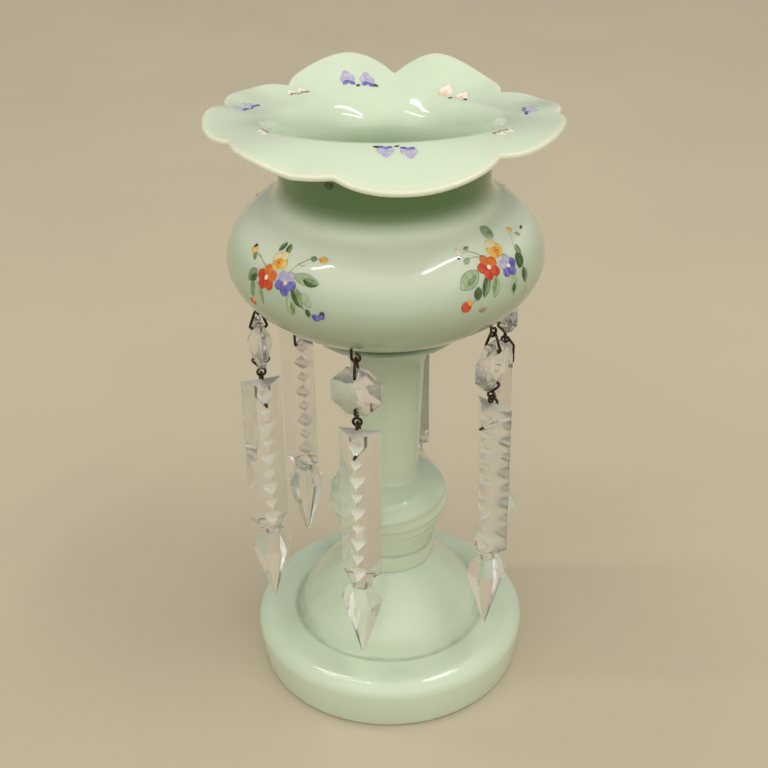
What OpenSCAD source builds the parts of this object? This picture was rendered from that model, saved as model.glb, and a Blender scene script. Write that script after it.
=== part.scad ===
// Mantel lustre: a flared opaline glass bowl on a hollow knopped pedestal, hung with six cut-crystal drops.
// Millimetres, Z up. The foot stands on z = 0 and the vertical axis of the vase runs through the origin.
// Each drop is built at azimuth 0 (local x outward, local y along the circle) and turned into its place.

/* [Pedestal] */
// Outer radius of the round foot at its widest
foot_r = 59.6; // [56:0.2:64]
// Height of the flat ring of the foot above the table
foot_h = 23.7; // [19:0.1:28]
// Radius of the groove where the dome rises from the ring
dome_r = 39.9; // [37:0.1:43]
// Height of the dome above the ring
dome_h = 28.9; // [27:0.1:31]
// Largest radius of the ring moulded on top of the dome
collar_r = 20; // [18.5:0.1:21]
// Height of that ring
collar_h = 8.7; // [7.5:0.1:9.5]
// Largest radius of the knop
knop_r = 25.5; // [23.5:0.1:27]
// Height of the knop
knop_h = 32.7; // [30:0.1:35]
// Radius of the stem just above the knop
stem_low_r = 12.7; // [11.5:0.1:14]
// Radius of the stem at its top
stem_top_r = 15.1; // [14:0.1:16.5]
// Length of the straight stem
stem_h = 51.5; // [48:0.1:55]
// Radius of the sweep that flares the stem out under the bowl
flare_r = 21.1; // [20.6:0.1:24]
// Height of that flare
flare_h = 20.5; // [19:0.1:20.6]
// Glass thickness of the pedestal
ped_wall = 5; // [4:0.1:6]

/* [Bowl] */
// Radius of the bowl at its widest
bowl_r = 62.3; // [60.5:0.1:66]
// Height from the widest line down to the pole of the bowl
bowl_low_h = 32; // [29:0.1:35]
// Height from the widest line up to the crown that the shoulder follows
bowl_up_h = 33; // [31:0.1:35]
// Outer radius of the neck
neck_r = 40.8; // [38:0.1:43]
// Height of the neck's narrowest line above the bowl's widest line
neck_h = 31.5; // [30:0.1:34]
// Mean height above that line at which the throat opens into the rim
rim_h = 22.9; // [21:0.1:25]
// How far that opening rises to a crest at the front and sinks at the back
rim_tilt = 8.1; // [6:0.1:9]
// Radius of the tip of the longest petal
rim_r = 69.4; // [67:0.1:73]
// Mean radius at the bottom of the notches between the petals
notch_r = 62.3; // [60:0.1:64]
// Mean rise from there to the waving edge of the rim
rim_lift = 1.1; // [0.5:0.1:2]
// Thickness of the rim at its edge
rim_t = 2.8; // [2.2:0.1:3.2]
// Glass thickness of the bowl
glass = 3.4; // [2.8:0.1:4]
// Thickness of the bowl's floor
floor_t = 5; // [4:0.1:7]
// Radius of the flat ground under the bowl for the joint
seat_r = 20; // [17:0.1:21.5]
// Thickness of the glass wafer in the joint
wafer_t = 2; // [1.5:0.1:2.4]

/* [Drops] */
// Azimuth of the first drop from the front of the vase, in degrees
first_drop = -12.8; // [-30:0.1:30]
// Radius of the circle that the drops hang from
hang_r = 52; // [50.5:0.1:53]
// Diameter of the bent wire
wire = 1.1; // [0.9:0.05:1.2]
// Radius of the hook's open loop and of the ring in the lower clip
loop_r = 1.65; // [1.6:0.05:1.8]
// Length of hook showing below the bowl, down to the loop's lowest wire
hook_drop = 5; // [4.6:0.1:7]
// Length of the clip between the hook's loop and the button's upper hole
clip_h = 6.2; // [5.8:0.1:8]
// Width of the octagonal button across its flats
button_w = 19.5; // [18:0.1:21]
// Thickness of the button between its two tables
button_t = 9.5; // [8:0.1:10]
// Distance of each hole of the button from its nearest flat
button_edge = 3; // [2.7:0.1:3.4]
// Distance from the button's lower hole to the lowest wire of the ring below it
ring_drop = 8.3; // [8:0.1:10]
// Distance from that wire down to the top of the prism
prism_drop = 3.3; // [3:0.1:5]
// Width of the prism's flat back
prism_w = 17; // [15:0.1:18]
// Depth of the prism from its back to its ridge
prism_d = 8.5; // [8:0.1:10]
// Length of the notched bar of the prism
bar_h = 68; // [64:0.2:72]
// Length of the waist under the bar, down to the shoulders of the spear
waist_h = 12.6; // [11:0.1:14]
// Length of the spear below its shoulders
spear_h = 28.8; // [25:0.1:32]
// Radius of the spear at its shoulders
spear_r = 8.6; // [7.5:0.1:9.5]
// Distance of the prism's hole from its top
prism_hole = 8; // [7.5:0.1:10]
// Number of round scoops cut into the ridge of the prism, large and small in turn
scoops = 9; // [7:2:9]
// Depth of the large scoops
scoop_deep = 2.5; // [2:0.1:2.8]
// Depth of the small scoops
scoop_fine = 1.6; // [1.2:0.1:1.9]

/* [Clearances] */
// Gap between linked wires, and between a wire and its hole in the bowl
link_gap = 0.3; // [0.25:0.01:0.35]
// Gap between a wire and its hole in the crystal
hole_gap = 0.45; // [0.35:0.01:0.55]
// Gap between the lip of the flare and the underside of the bowl
joint_gap = 5.39; // [4.5:0.01:6]

/* [Hidden] */
$fn = 72;
drops = 6;
low_n = 1.85;
up_n = 1.98;
edge_r = 7;
foot_in_r = foot_r - 9.6;
waist_r = collar_r - 0.8;
dome_top_r = collar_r - 1.1;

// Rim, round from the front: azimuth of each notch with its depth beyond the mean, and of the petal
// after it with how far its tip falls short of the longest
rim_notches = [[-15.5, -2.7], [39.5, -0.5], [89.5, -3.2], [129, 1.8], [175.8, 2.3], [219.5, 1.8], [256, 0.3], [298, -0.2]];
rim_tips = [[8, 0], [76, 1.4], [106, 1.6], [154, 0.4], [196, 0.4], [236, 1.9], [274, 1.6], [325, 2.9]];
// Azimuth and height of each rise and dip of the rim's edge about its mean
rim_waves = [[8, -2.4], [38, 1.5], [66, 2.8], [92, 0.9], [117, -3.9], [138, -3.5], [161, 3.5], [176, -0.1],
  [193, 3.7], [214, -1.1], [230, -2.7], [247, -0.7], [264, 1.3], [290, 1], [311, 2.5], [339, -0.6]];
// How far each prism has turned on its wires, in degrees
prism_turn = [0, -95, 163, 0, -74, 94];
// How far each drop hangs from its even place round the bowl, in degrees
drop_shift = [0, 4.2, 0, 0, 0, -3.8];

// Heights of the pedestal, from the foot upward
z_collar = foot_h + dome_h;
z_knop = z_collar + collar_h;
z_belly = z_knop + 0.617 * knop_h;
z_stem = z_knop + knop_h;
z_flare = z_stem + stem_h;
z_lip = z_flare + flare_h;
lip_a = asin(flare_h / flare_r);
lip_r = stem_top_r + flare_r * (1 - cos(lip_a));

// Heights of the bowl, which sits on the pedestal
z_eq = z_lip + joint_gap + under(lip_r, bowl_r, bowl_low_h, low_n);
z_seat = z_eq - under(seat_r, bowl_r, bowl_low_h, low_n);
z_neck = z_eq + neck_h;
z_crest = z_neck + rim_h;
in_r = bowl_r - glass;
in_low_h = z_eq - z_seat - floor_t;
in_up_h = bowl_up_h - glass;
shoulder_r = neck_r + 5.2;
crest_r = neck_r + 7;

// Heights of a drop, from the bowl's underside down
z_hole_out = z_eq - under(hang_r, bowl_r, bowl_low_h, low_n);
bore_d = wire + 2 * link_gap;
crystal_d = wire + 2 * hole_gap;
z_sill = z_eq - under(hang_r - bore_d / 2, in_r, in_low_h, low_n);
z_hang = z_hole_out - hook_drop;
eye_r = wire + link_gap;
bend_r = 0.95;
z_hole_1 = z_hang - clip_h;
z_button = z_hole_1 - button_w / 2 + button_edge;
z_hole_2 = z_hole_1 - button_w + 2 * button_edge;
z_link = z_hole_2 - ring_drop;
z_bar = z_link - prism_drop;
z_pin = z_bar - prism_hole;
z_waist = z_bar - bar_h;
z_spear = z_waist - waist_h;
z_tip = z_spear - spear_h;
back_x = -prism_d / 3;
ridge_x = 2 * prism_d / 3;
girdle_t = 2.4;
table_r = 1.8;

// Height of a rounded profile below or above its widest line, at radius r
function under(r, big_r, h, n) = h * pow(1 - pow(r / big_r, n), 1 / n);
// Angle along that profile where the radius is r
function along(r, big_r, n) = asin(pow(r / big_r, n / 2));
// Point of that profile at angle t, with the height signed by s
function round_at(t, big_r, h, n, z, s) = [big_r * pow(sin(t), 2 / n), z + s * h * pow(cos(t), 2 / n)];
// Run of that profile from radius r0 to r1 in n steps
function round_run(r0, r1, big_r, h, n, z, s, steps) = [
  for (i = [0:steps])
    let (t0 = along(r0, big_r, n), t1 = along(r1, big_r, n))
    round_at(t0 + (t1 - t0) * i / steps, big_r, h, n, z, s)
];
// Smooth curve from a to d that leaves towards b and arrives from c, without its first point
function curve(a, b, c, d, steps) = [
  for (i = [1:steps])
    let (t = i / steps, u = 1 - t)
    u * u * u * a + 3 * u * u * t * b + 3 * u * t * t * c + t * t * t * d
];
// Quarter of an ellipse about (r, z) from angle a0 to a1
function swell(r, dr, z, dz, a0, a1, steps) = [
  for (i = [1:steps])
    let (a = a0 + (a1 - a0) * i / steps)
    [r + dr * cos(a), z + dz * sin(a)]
];
// First angle at or after a that points the same way as b
function after(a, b) = b < a ? after(a, b + 360) : b;
// Direction of the outer tangent's normal between two wheels of a belt
function normal_of(p, q) =
  let (dx = q[0] - p[0], dy = q[1] - p[1])
  atan2(dy, dx) - acos((p[2] - q[2]) / norm([dx, dy]));
// Point of a wheel at angle a
function wheel_at(p, a) = [p[0] + p[2] * cos(a), p[1] + p[2] * sin(a)];

// Small swelling where two runs of wire meet, at point p of the XY plane
module knuckle(p) {
  translate([p[0], p[1], 0])
    sphere(d = wire * 1.12);
}

// Straight wire between two points of the XY plane, swelled at both ends
module rod(p, q) {
  knuckle(p);
  knuckle(q);
  translate([p[0], p[1], 0])
    rotate([0, 0, atan2(q[1] - p[1], q[0] - p[0])])
      rotate([0, 90, 0])
        cylinder(d = wire, h = norm(q - p));
}

// Bent wire about wheel p from angle a0 to a1 in the XY plane
module bend(p, a0, a1) {
  translate([p[0], p[1], 0])
    rotate([0, 0, a0])
      rotate_extrude(angle = a1 - a0)
        translate([p[2], 0])
          circle(d = wire);
}

// Closed wire drawn tight round three wheels, listed anticlockwise
module belt(w) {
  n = [normal_of(w[0], w[1]), normal_of(w[1], w[2]), normal_of(w[2], w[0])];
  for (i = [0:2]) {
    rod(wheel_at(w[i], n[i]), wheel_at(w[(i + 1) % 3], n[i]));
    bend(w[i], n[(i + 2) % 3], after(n[(i + 2) % 3], n[i]));
  }
}

// Turns a drop's piece to its place on the circle
module at_drop(k) {
  rotate([0, 0, first_drop + 360 / drops * (k - 1) + drop_shift[k - 1] - 90])
    children();
}

// Turns what hangs below a drop's button about the drop's own upright
module turned(k) {
  translate([hang_r, 0, 0])
    rotate([0, 0, prism_turn[k - 1]])
      translate([-hang_r, 0, 0])
        children();
}

// Lays a wire drawn in XY into the radial plane of its drop
module radial() {
  translate([hang_r, 0, 0])
    rotate([90, 0, 0])
      children();
}

// Lays a wire drawn in XY into the plane along the circle
module tangent() {
  translate([hang_r, 0, 0])
    rotate([90, 0, 90])
      children();
}

// Angle from a on to b, from 0 to 360
function onward(a, b) = let (d = (b - a) % 360) d < 0 ? d + 360 : d;
// Smooth step from 0 to 1
function ease(t) = t * t * (3 - 2 * t);
// Height of the rim's edge at azimuth a
function edge_z(a, i = 0) =
  let (p = rim_waves[i], q = rim_waves[(i + 1) % len(rim_waves)], t = onward(p[0], a) / onward(p[0], q[0]))
  t <= 1 || i + 1 == len(rim_waves) ? z_crest + rim_lift + p[1] + (q[1] - p[1]) * ease(min(t, 1)) : edge_z(a, i + 1);
// Reach of petal i at azimuth a
function petal_r(i, a) =
  let (from = rim_notches[i], to = rim_notches[(i + 1) % len(rim_notches)], tip = rim_tips[i],
    t = onward(from[0], a), lead = onward(from[0], tip[0]), tail = onward(tip[0], to[0]),
    off = t < lead ? 1 - t / lead : (t - lead) / tail,
    low = notch_r - (t < lead ? from[1] : to[1]))
  rim_r - tip[1] - (rim_r - tip[1] - low) * pow(min(off, 1), 3.5);
// Section of the rim across petal i at azimuth a, from the neck out to the edge and back in
function rim_section(i, a) =
  let (
    far = petal_r(i, a), crest = z_crest + rim_tilt * cos(a), fall = edge_z(a) - crest,
    lead = min(1.2, max(0.3, 0.78 + 0.05 * fall)), slope = fall * lead / (far - crest_r),
    out_r = neck_r - 0.05, in_r = neck_r - glass + 0.05, bend = [crest_r + 0.8, crest - glass + 0.8 * slope],
    face = [for (j = [0:4]) let (e = j / 4) [crest_r + (far - crest_r) * e, crest + fall * (lead * e + (1 - lead) * e * e)]]
  )
  concat(
    [[out_r, z_neck - 0.6], [out_r, z_neck + 0.4]],
    curve([out_r, z_neck + 0.4], [out_r, (z_neck + bend[1]) / 2], bend + [-6.5, -6.5 * slope], bend, 6),
    [for (j = [1:4]) [max(face[j][0], bend[0] + 0.1), face[j][1] - glass + (glass - rim_t) * j / 4]],
    [for (j = [0:4]) face[4 - j]],
    curve([crest_r, crest], [crest_r - 7, crest - 7 * slope], [in_r, (z_neck + crest) / 2], [in_r, z_neck + 1], 6),
    [[in_r, z_neck - 0.6]]
  );

// Flaring rim of waving petals
module rim() {
  steps = 12;
  last = len(rim_notches) - 1;
  sections = [
    for (i = [0:last])
      let (a0 = rim_notches[i][0], w = onward(a0, rim_notches[i < last ? i + 1 : 0][0]))
      for (j = [0:steps - 1])
        let (a = a0 + w * j / steps)
        [for (q = rim_section(i, a)) [q[0] * sin(a), -q[0] * cos(a), q[1]]]
  ];
  n = len(sections);
  m = len(sections[0]);
  polyhedron(
    points = [for (ring = sections) each ring],
    faces = [
      for (i = [0:n - 1])
        for (j = [0:m - 1])
          let (i2 = (i + 1) % n, j2 = (j + 1) % m)
          each [[i * m + j, i * m + j2, i2 * m + j2], [i * m + j, i2 * m + j2, i2 * m + j]]
    ]
  );
}

// Blown bowl with its neck and petalled rim
module bowl() {
  neck_in = neck_r - glass;
  out_low = round_run(seat_r, bowl_r, bowl_r, bowl_low_h, low_n, z_eq, -1, 12);
  out_up = round_run(bowl_r, shoulder_r, bowl_r, bowl_up_h, up_n, z_eq, 1, 9);
  out_end = out_up[9];
  in_low = round_run(0.01, in_r, in_r, in_low_h, low_n, z_eq, -1, 12);
  in_up = round_run(in_r, shoulder_r - glass, in_r, in_up_h, up_n, z_eq, 1, 9);
  in_end = in_up[9];
  out_neck = curve(out_end, out_end + [-3, 1.8], [neck_r, z_neck - 3.5], [neck_r, z_neck], 5);
  in_neck = curve([neck_in, z_neck], [neck_in, z_neck - 3], in_end + [-2.5, 1.6], in_end, 5);
  color("#c9dcc4")
    union() {
      difference() {
        rotate_extrude()
          polygon(concat(
            [[0, z_seat]], out_low, [for (i = [1:9]) out_up[i]], out_neck, [[neck_in, z_neck]], in_neck,
            [for (i = [1:9]) in_up[9 - i]], [for (i = [1:11]) in_low[12 - i]], [[0, z_seat + floor_t]]
          ));
        for (k = [1:drops])
          at_drop(k)
            translate([hang_r, -loop_r, z_seat - 4])
              cylinder(d = bore_d, h = z_eq - z_seat + 4);
      }
      rim();
    }
}

// Thin gather of glass that joins the bowl to the pedestal
module joint_wafer() {
  color("#c3d6bf")
    translate([0, 0, z_seat - wafer_t])
      cylinder(r = seat_r, h = wafer_t);
}

// Hollow-blown pedestal: foot, dome, ringed collar, knop, stem and flare
module pedestal() {
  outside = concat(
    [[foot_in_r, 0], [foot_r - 3.1, 0], [foot_r - 2.1, 1]],
    [[foot_r, foot_h - edge_r]],
    swell(foot_r - edge_r, edge_r, foot_h - edge_r, edge_r, 0, 90, 6),
    [[dome_r + 2, foot_h], [dome_r + 0.6, foot_h - 0.9]],
    [[dome_r, foot_h]],
    curve([dome_r, foot_h], [dome_r - 2, foot_h + 0.42 * dome_h], [dome_r - 13, foot_h + 0.72 * dome_h],
      [dome_top_r, z_collar], 9),
    swell(dome_top_r, collar_r - dome_top_r, z_collar + collar_h * 0.5, collar_h * 0.46, -80, 80, 7),
    [[waist_r, z_knop]],
    curve([waist_r, z_knop], [waist_r + 1.4, z_knop + 7], [knop_r, z_belly - 2], [knop_r, z_belly], 8),
    swell(stem_low_r, knop_r - stem_low_r, z_belly, z_stem - z_belly, 0, 84, 8),
    [[stem_low_r, z_stem + 1], [stem_top_r, z_flare]],
    [for (i = [1:8]) let (a = lip_a * i / 8) [stem_top_r + flare_r * (1 - cos(a)), z_flare + flare_r * sin(a)]],
    [[lip_r + 0.1, z_lip + 0.9], [lip_r - 0.6, z_lip + 1.8], [lip_r - 1.8, z_lip + 2]],
    [[seat_r + 1.5, z_seat - wafer_t], [0, z_seat - wafer_t]]
  );
  roof = foot_h - ped_wall;
  inside = concat(
    [[0, z_flare + 9], [stem_top_r - ped_wall - 3, z_flare + 7], [stem_top_r - ped_wall, z_flare]],
    [[stem_low_r - ped_wall + 0.6, z_stem], [knop_r / 2 + 2, z_belly], [waist_r - ped_wall, z_knop]],
    [[waist_r - ped_wall + 0.4, z_collar - 1]],
    curve([waist_r - ped_wall + 0.4, z_collar - 1], [dome_r - 18, roof + 0.7 * dome_h],
      [dome_r - 8, roof + 0.35 * dome_h], [dome_r - 7, roof], 7),
    [[foot_in_r - 4, roof], [foot_in_r, roof - 4]]
  );
  color("#c6dac1")
    rotate_extrude()
      polygon(concat(outside, inside));
}

// Wire hook seated in the bowl's wall, crooked over inside and looped below
module hook(k) {
  loop = [0, z_hang + loop_r, loop_r];
  crook = [-1.6, z_sill - 0.5, 1.6];
  tail = wheel_at(crook, 120);
  color("#4a3a2c")
    at_drop(k) {
      tangent() {
        bend(loop, 180, 452);
        rod([-loop_r, crook[1]], [-loop_r, loop[1]]);
      }
      translate([0, -loop_r, 0])
        radial() {
          bend(crook, 0, 120);
          rod(tail, tail + 2.4 * [cos(210), sin(210)]);
        }
    }
}

// Closed wire clip from the hook's loop to the button's upper hole
module upper_clip(k) {
  half = button_t / 4;
  color("#54422f")
    at_drop(k)
      radial()
        belt([
          [0, z_hang, eye_r],
          [-half, z_hole_1 + bend_r, bend_r],
          [half, z_hole_1 + bend_r, bend_r]
        ]);
}

// Eight-sided cut button, pyramids on both faces, with a hole near its top and bottom flats
module button(k) {
  corner = button_w / 2 / cos(22.5);
  slope = atan((button_t - girdle_t) / 2 / (button_w / 2 - table_r));
  color("#e6eae4", 0.6)
    at_drop(k)
      translate([hang_r, 0, z_button])
        rotate([0, 90, 0])
          difference() {
            rotate([0, 0, 22.5])
              cylinder(r = corner, h = button_t, center = true, $fn = 8);
            for (s = [0, 180])
              rotate([s, 0, 0])
                for (i = [0:7])
                  rotate([0, 0, 45 * i])
                    translate([button_w / 2, 0, girdle_t / 2])
                      rotate([0, slope, 0])
                        translate([-button_w, -button_w / 2, 0])
                          cube([2 * button_w, button_w, button_t]);
            for (s = [-1, 1])
              translate([s * (button_w / 2 - button_edge), 0, -button_t])
                cylinder(d = crystal_d, h = 2 * button_t);
          }
}

// Twisted wire clip: a bow through the button's lower hole with a ring below it
module lower_clip(k) {
  half = button_t / 4;
  foot_y = z_link + 2 * loop_r + 0.35 + bend_r;
  color("#54422f")
    at_drop(k) {
      radial()
        belt([
          [0, foot_y, bend_r],
          [half, z_hole_2 - bend_r, bend_r],
          [-half, z_hole_2 - bend_r, bend_r]
        ]);
      turned(k)
        tangent()
          translate([0, z_link + loop_r, 0])
            rotate_extrude()
              translate([loop_r, 0])
                circle(d = wire);
    }
}

// Bent wire that carries the prism: an eye, a crank over its back edge and a pin through its hole
module prism_pin(k) {
  slack = 0.4;
  eye = [0, z_link, eye_r];
  shank_x = back_x - slack - wire / 2;
  top = [shank_x + 1, z_bar + 0.1, 1];
  low = [shank_x + 1, z_pin + 1, 1];
  n = after(0, normal_of(eye, top));
  color("#4a3a2c")
    at_drop(k)
      turned(k)
        radial() {
          bend(eye, 205, n + 360);
          rod(wheel_at(eye, n), wheel_at(top, n));
          bend(top, n, 180);
          rod([shank_x, top[1]], [shank_x, low[1]]);
          bend(low, 180, 270);
          rod([low[0], z_pin], [ridge_x + 0.8, z_pin]);
        }
}

// Three-sided prism with scoops along its ridge, ending in a cut spear
module prism(k) {
  step = (bar_h - 8) / (scoops - 1);
  color("#e9ece6", 0.6)
    at_drop(k)
      turned(k)
        translate([hang_r, 0, 0])
          difference() {
            union() {
              translate([0, 0, z_waist])
                linear_extrude(height = bar_h)
                  polygon([[back_x, -prism_w / 2], [ridge_x, 0], [back_x, prism_w / 2]]);
              translate([0, 0, z_spear + 5])
                cylinder(r = 4.2, h = waist_h - 4, $fn = 6);
              translate([0, 0, z_spear])
                cylinder(r1 = spear_r, r2 = 3.6, h = 7.5, $fn = 6);
              translate([0, 0, z_tip])
                cylinder(r1 = 0.5, r2 = spear_r, h = spear_h, $fn = 6);
            }
            for (i = [0:scoops - 1]) {
              cut = i % 2 == 0 ? scoop_deep : scoop_fine;
              r = cut * 1.3;
              translate([ridge_x - cut + r, 0, z_waist + 4 + i * step])
                rotate([90, 0, 0])
                  rotate([0, 0, 15])
                    cylinder(r = r, h = prism_w, center = true, $fn = 12);
            }
            translate([back_x - 1, 0, z_pin])
              rotate([0, 90, 0])
                cylinder(d = crystal_d, h = prism_d + 2);
          }
}

bowl();
joint_wafer();
pedestal();
hook(1);  // hook_1
hook(2);  // hook_2
hook(3);  // hook_3
hook(4);  // hook_4
hook(5);  // hook_5
hook(6);  // hook_6
upper_clip(1);  // upper_clip_1
upper_clip(2);  // upper_clip_2
upper_clip(3);  // upper_clip_3
upper_clip(4);  // upper_clip_4
upper_clip(5);  // upper_clip_5
upper_clip(6);  // upper_clip_6
button(1);  // button_1
button(2);  // button_2
button(3);  // button_3
button(4);  // button_4
button(5);  // button_5
button(6);  // button_6
lower_clip(1);  // lower_clip_1
lower_clip(2);  // lower_clip_2
lower_clip(3);  // lower_clip_3
lower_clip(4);  // lower_clip_4
lower_clip(5);  // lower_clip_5
lower_clip(6);  // lower_clip_6
prism_pin(1);  // prism_pin_1
prism_pin(2);  // prism_pin_2
prism_pin(3);  // prism_pin_3
prism_pin(4);  // prism_pin_4
prism_pin(5);  // prism_pin_5
prism_pin(6);  // prism_pin_6
prism(1);  // prism_1
prism(2);  // prism_2
prism(3);  // prism_3
prism(4);  // prism_4
prism(5);  // prism_5
prism(6);  // prism_6
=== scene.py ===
"""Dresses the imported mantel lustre: opaline glass, cut crystal drops on bent wire, painted flower sprays.

Sizes in the classes are millimetres in the part's own frame: +Z up, -Y towards the viewer, foot on z = 0.
"""
import logging
import math
from dataclasses import dataclass, field
from enum import Enum
from typing import Any, Callable, Sequence

import bmesh
import bpy
from mathutils import Matrix, Vector
from mathutils.kdtree import KDTree


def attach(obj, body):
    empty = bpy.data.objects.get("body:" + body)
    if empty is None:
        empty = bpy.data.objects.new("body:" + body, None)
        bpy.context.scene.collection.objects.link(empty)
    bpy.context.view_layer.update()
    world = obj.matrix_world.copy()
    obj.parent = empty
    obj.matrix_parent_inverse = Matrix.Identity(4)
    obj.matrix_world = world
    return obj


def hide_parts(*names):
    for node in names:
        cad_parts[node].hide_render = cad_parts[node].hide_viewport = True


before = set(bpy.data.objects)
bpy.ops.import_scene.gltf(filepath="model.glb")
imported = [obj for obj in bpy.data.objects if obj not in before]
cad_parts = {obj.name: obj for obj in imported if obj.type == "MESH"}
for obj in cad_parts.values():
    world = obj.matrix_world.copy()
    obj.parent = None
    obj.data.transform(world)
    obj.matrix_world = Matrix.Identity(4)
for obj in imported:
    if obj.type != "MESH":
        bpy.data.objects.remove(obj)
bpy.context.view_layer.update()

LOG = logging.getLogger("lustre")
MM = 0.001
TURN = 2.0 * math.pi
Pair = tuple[float, float]
Triple = tuple[float, float, float]
Colour = Triple
Material = bpy.types.Material
Object = bpy.types.Object
Mesh = bmesh.types.BMesh


# Small geometry helpers


def smooth(x: float, low: float, high: float) -> float:
    """Returns 0 below low, 1 above high and a smooth step between."""
    t = min(1.0, max(0.0, (x - low) / (high - low)))
    return t * t * (3.0 - 2.0 * t)


def bezier(a: Pair, b: Pair, c: Pair, d: Pair, steps: int) -> list[Pair]:
    """Samples a cubic curve without its first point.

    Args:
        a: First point.
        b: Point that the curve leaves towards.
        c: Point that the curve arrives from.
        d: Last point.
        steps: Number of points returned.

    Returns:
        The sampled points after a, ending with d.
    """
    points = []
    for i in range(1, steps + 1):
        t = i / steps
        u = 1.0 - t
        w = (u * u * u, 3 * u * u * t, 3 * u * t * t, t * t * t)
        points.append(tuple(sum(k * p[n] for k, p in zip(w, (a, b, c, d))) for n in (0, 1)))
    return points


def arc(cx: float, cy: float, rx: float, ry: float, a0: float, a1: float, steps: int) -> list[Pair]:
    """Samples an elliptical arc, both ends included.

    Args:
        cx: Centre across.
        cy: Centre up.
        rx: Radius across.
        ry: Radius up.
        a0: First angle in degrees.
        a1: Last angle in degrees.
        steps: Number of steps.

    Returns:
        The steps + 1 points of the arc.
    """
    angles = (math.radians(a0 + (a1 - a0) * i / steps) for i in range(steps + 1))
    return [(cx + rx * math.cos(a), cy + ry * math.sin(a)) for a in angles]


def swelling(r0: float, r1: float, big: float, h: float, n: float, z: float, sign: int,
             steps: int) -> list[Pair]:
    """Samples a rounded bowl wall from radius r0 to r1.

    Args:
        r0: First radius.
        r1: Last radius.
        big: Radius at the widest line.
        h: Height of the wall's pole from that line.
        n: Squareness of the wall, 2 for an ellipse.
        z: Height of the widest line.
        sign: 1 above that line, -1 below it.
        steps: Number of steps.

    Returns:
        The steps + 1 points of the wall.
    """
    t0 = math.asin((r0 / big) ** (n / 2))
    t1 = math.asin((r1 / big) ** (n / 2))
    points = []
    for i in range(steps + 1):
        t = t0 + (t1 - t0) * i / steps
        points.append((big * math.sin(t) ** (2 / n), z + sign * h * max(0.0, math.cos(t)) ** (2 / n)))
    return points


def polar(theta: float, r: float, z: float) -> Vector:
    """Returns the point at azimuth theta (radians from the front), radius r and height z, in metres."""
    return Vector((r * math.sin(theta), -r * math.cos(theta), z)) * MM


class Wall:
    """A wall of revolution followed by its arc length, which paint is laid on."""

    def __init__(self, points: Sequence[Pair], zero_z: float) -> None:
        """Measures the wall.

        Args:
            points: Profile points as radius and height, with the outside on the right of their run.
            zero_z: Height that counts as arc length 0.
        """
        self.points = list(points)
        self.lengths = [0.0]
        for p, q in zip(self.points, self.points[1:]):
            self.lengths.append(self.lengths[-1] + math.dist(p, q))
        near = min(range(len(self.points)), key=lambda i: abs(self.points[i][1] - zero_z))
        self.zero = self.lengths[near]

    def at(self, s: float) -> tuple[float, float, float, float]:
        """Returns radius, height and the outward normal's two parts at arc length s from the zero line."""
        s += self.zero
        i = 0
        while i < len(self.lengths) - 2 and self.lengths[i + 1] < s:
            i += 1
        p, q = self.points[i], self.points[i + 1]
        span = self.lengths[i + 1] - self.lengths[i]
        t = (s - self.lengths[i]) / span
        dr, dz = (q[0] - p[0]) / span, (q[1] - p[1]) / span
        return p[0] + (q[0] - p[0]) * t, p[1] + (q[1] - p[1]) * t, dz, -dr

    def place(self, theta: float, s: float, h: float) -> Vector:
        """Returns the point h millimetres outside the wall at azimuth theta and arc length s."""
        r, z, nr, nz = self.at(s)
        return polar(theta, r + nr * h, z + nz * h)


def spun(profile: Sequence[Pair], steps: int) -> Mesh:
    """Spins a profile about the vertical axis.

    Args:
        profile: Radius and height of each point, from one pole to the other.
        steps: Number of sectors.

    Returns:
        A closed mesh with its normals outward.
    """
    bm = bmesh.new()
    verts = [bm.verts.new((0.0, -r * MM, z * MM)) for r, z in profile]
    edges = [bm.edges.new(pair) for pair in zip(verts, verts[1:])]
    bmesh.ops.spin(bm, geom=verts + edges, cent=(0, 0, 0), axis=(0, 0, 1), dvec=(0, 0, 0),
                   angle=TURN, steps=steps, use_merge=True, use_duplicate=False)
    bmesh.ops.remove_doubles(bm, verts=bm.verts[:], dist=1e-7)
    bmesh.ops.delete(bm, geom=[e for e in bm.edges if not e.link_faces], context="EDGES")
    bmesh.ops.recalc_face_normals(bm, faces=bm.faces[:])
    return bm


def lofted(bm: Mesh, rings: Sequence[Sequence[Vector]]) -> list[bmesh.types.BMVert]:
    """Extrudes one capped outline through a row of rings.

    Args:
        bm: Mesh that takes the new solid.
        rings: Outlines with equal counts of points.

    Returns:
        All vertices of the new solid.
    """
    ring = [bm.verts.new(p) for p in rings[0]]
    made = list(ring)
    cap = bm.faces.new(ring)
    for step, outline in enumerate(rings[1:]):
        grown = bmesh.ops.extrude_face_region(bm, geom=[cap])["geom"]
        if step:
            bmesh.ops.delete(bm, geom=[cap], context="FACES_ONLY")
        fresh = [v for v in grown if isinstance(v, bmesh.types.BMVert)]
        cap = next(f for f in grown if isinstance(f, bmesh.types.BMFace))
        old = [v.co.copy() for v in ring]
        order = [min(fresh, key=lambda v, p=p: (v.co - p).length_squared) for p in old]
        for v, p in zip(order, outline):
            v.co = p
        ring = order
        made += order
    return made


def linked(name: str, data: bpy.types.ID) -> Object:
    """Returns a new object of the data, put into the scene."""
    obj = bpy.data.objects.new(name, data)
    bpy.context.scene.collection.objects.link(obj)
    return obj


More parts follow.
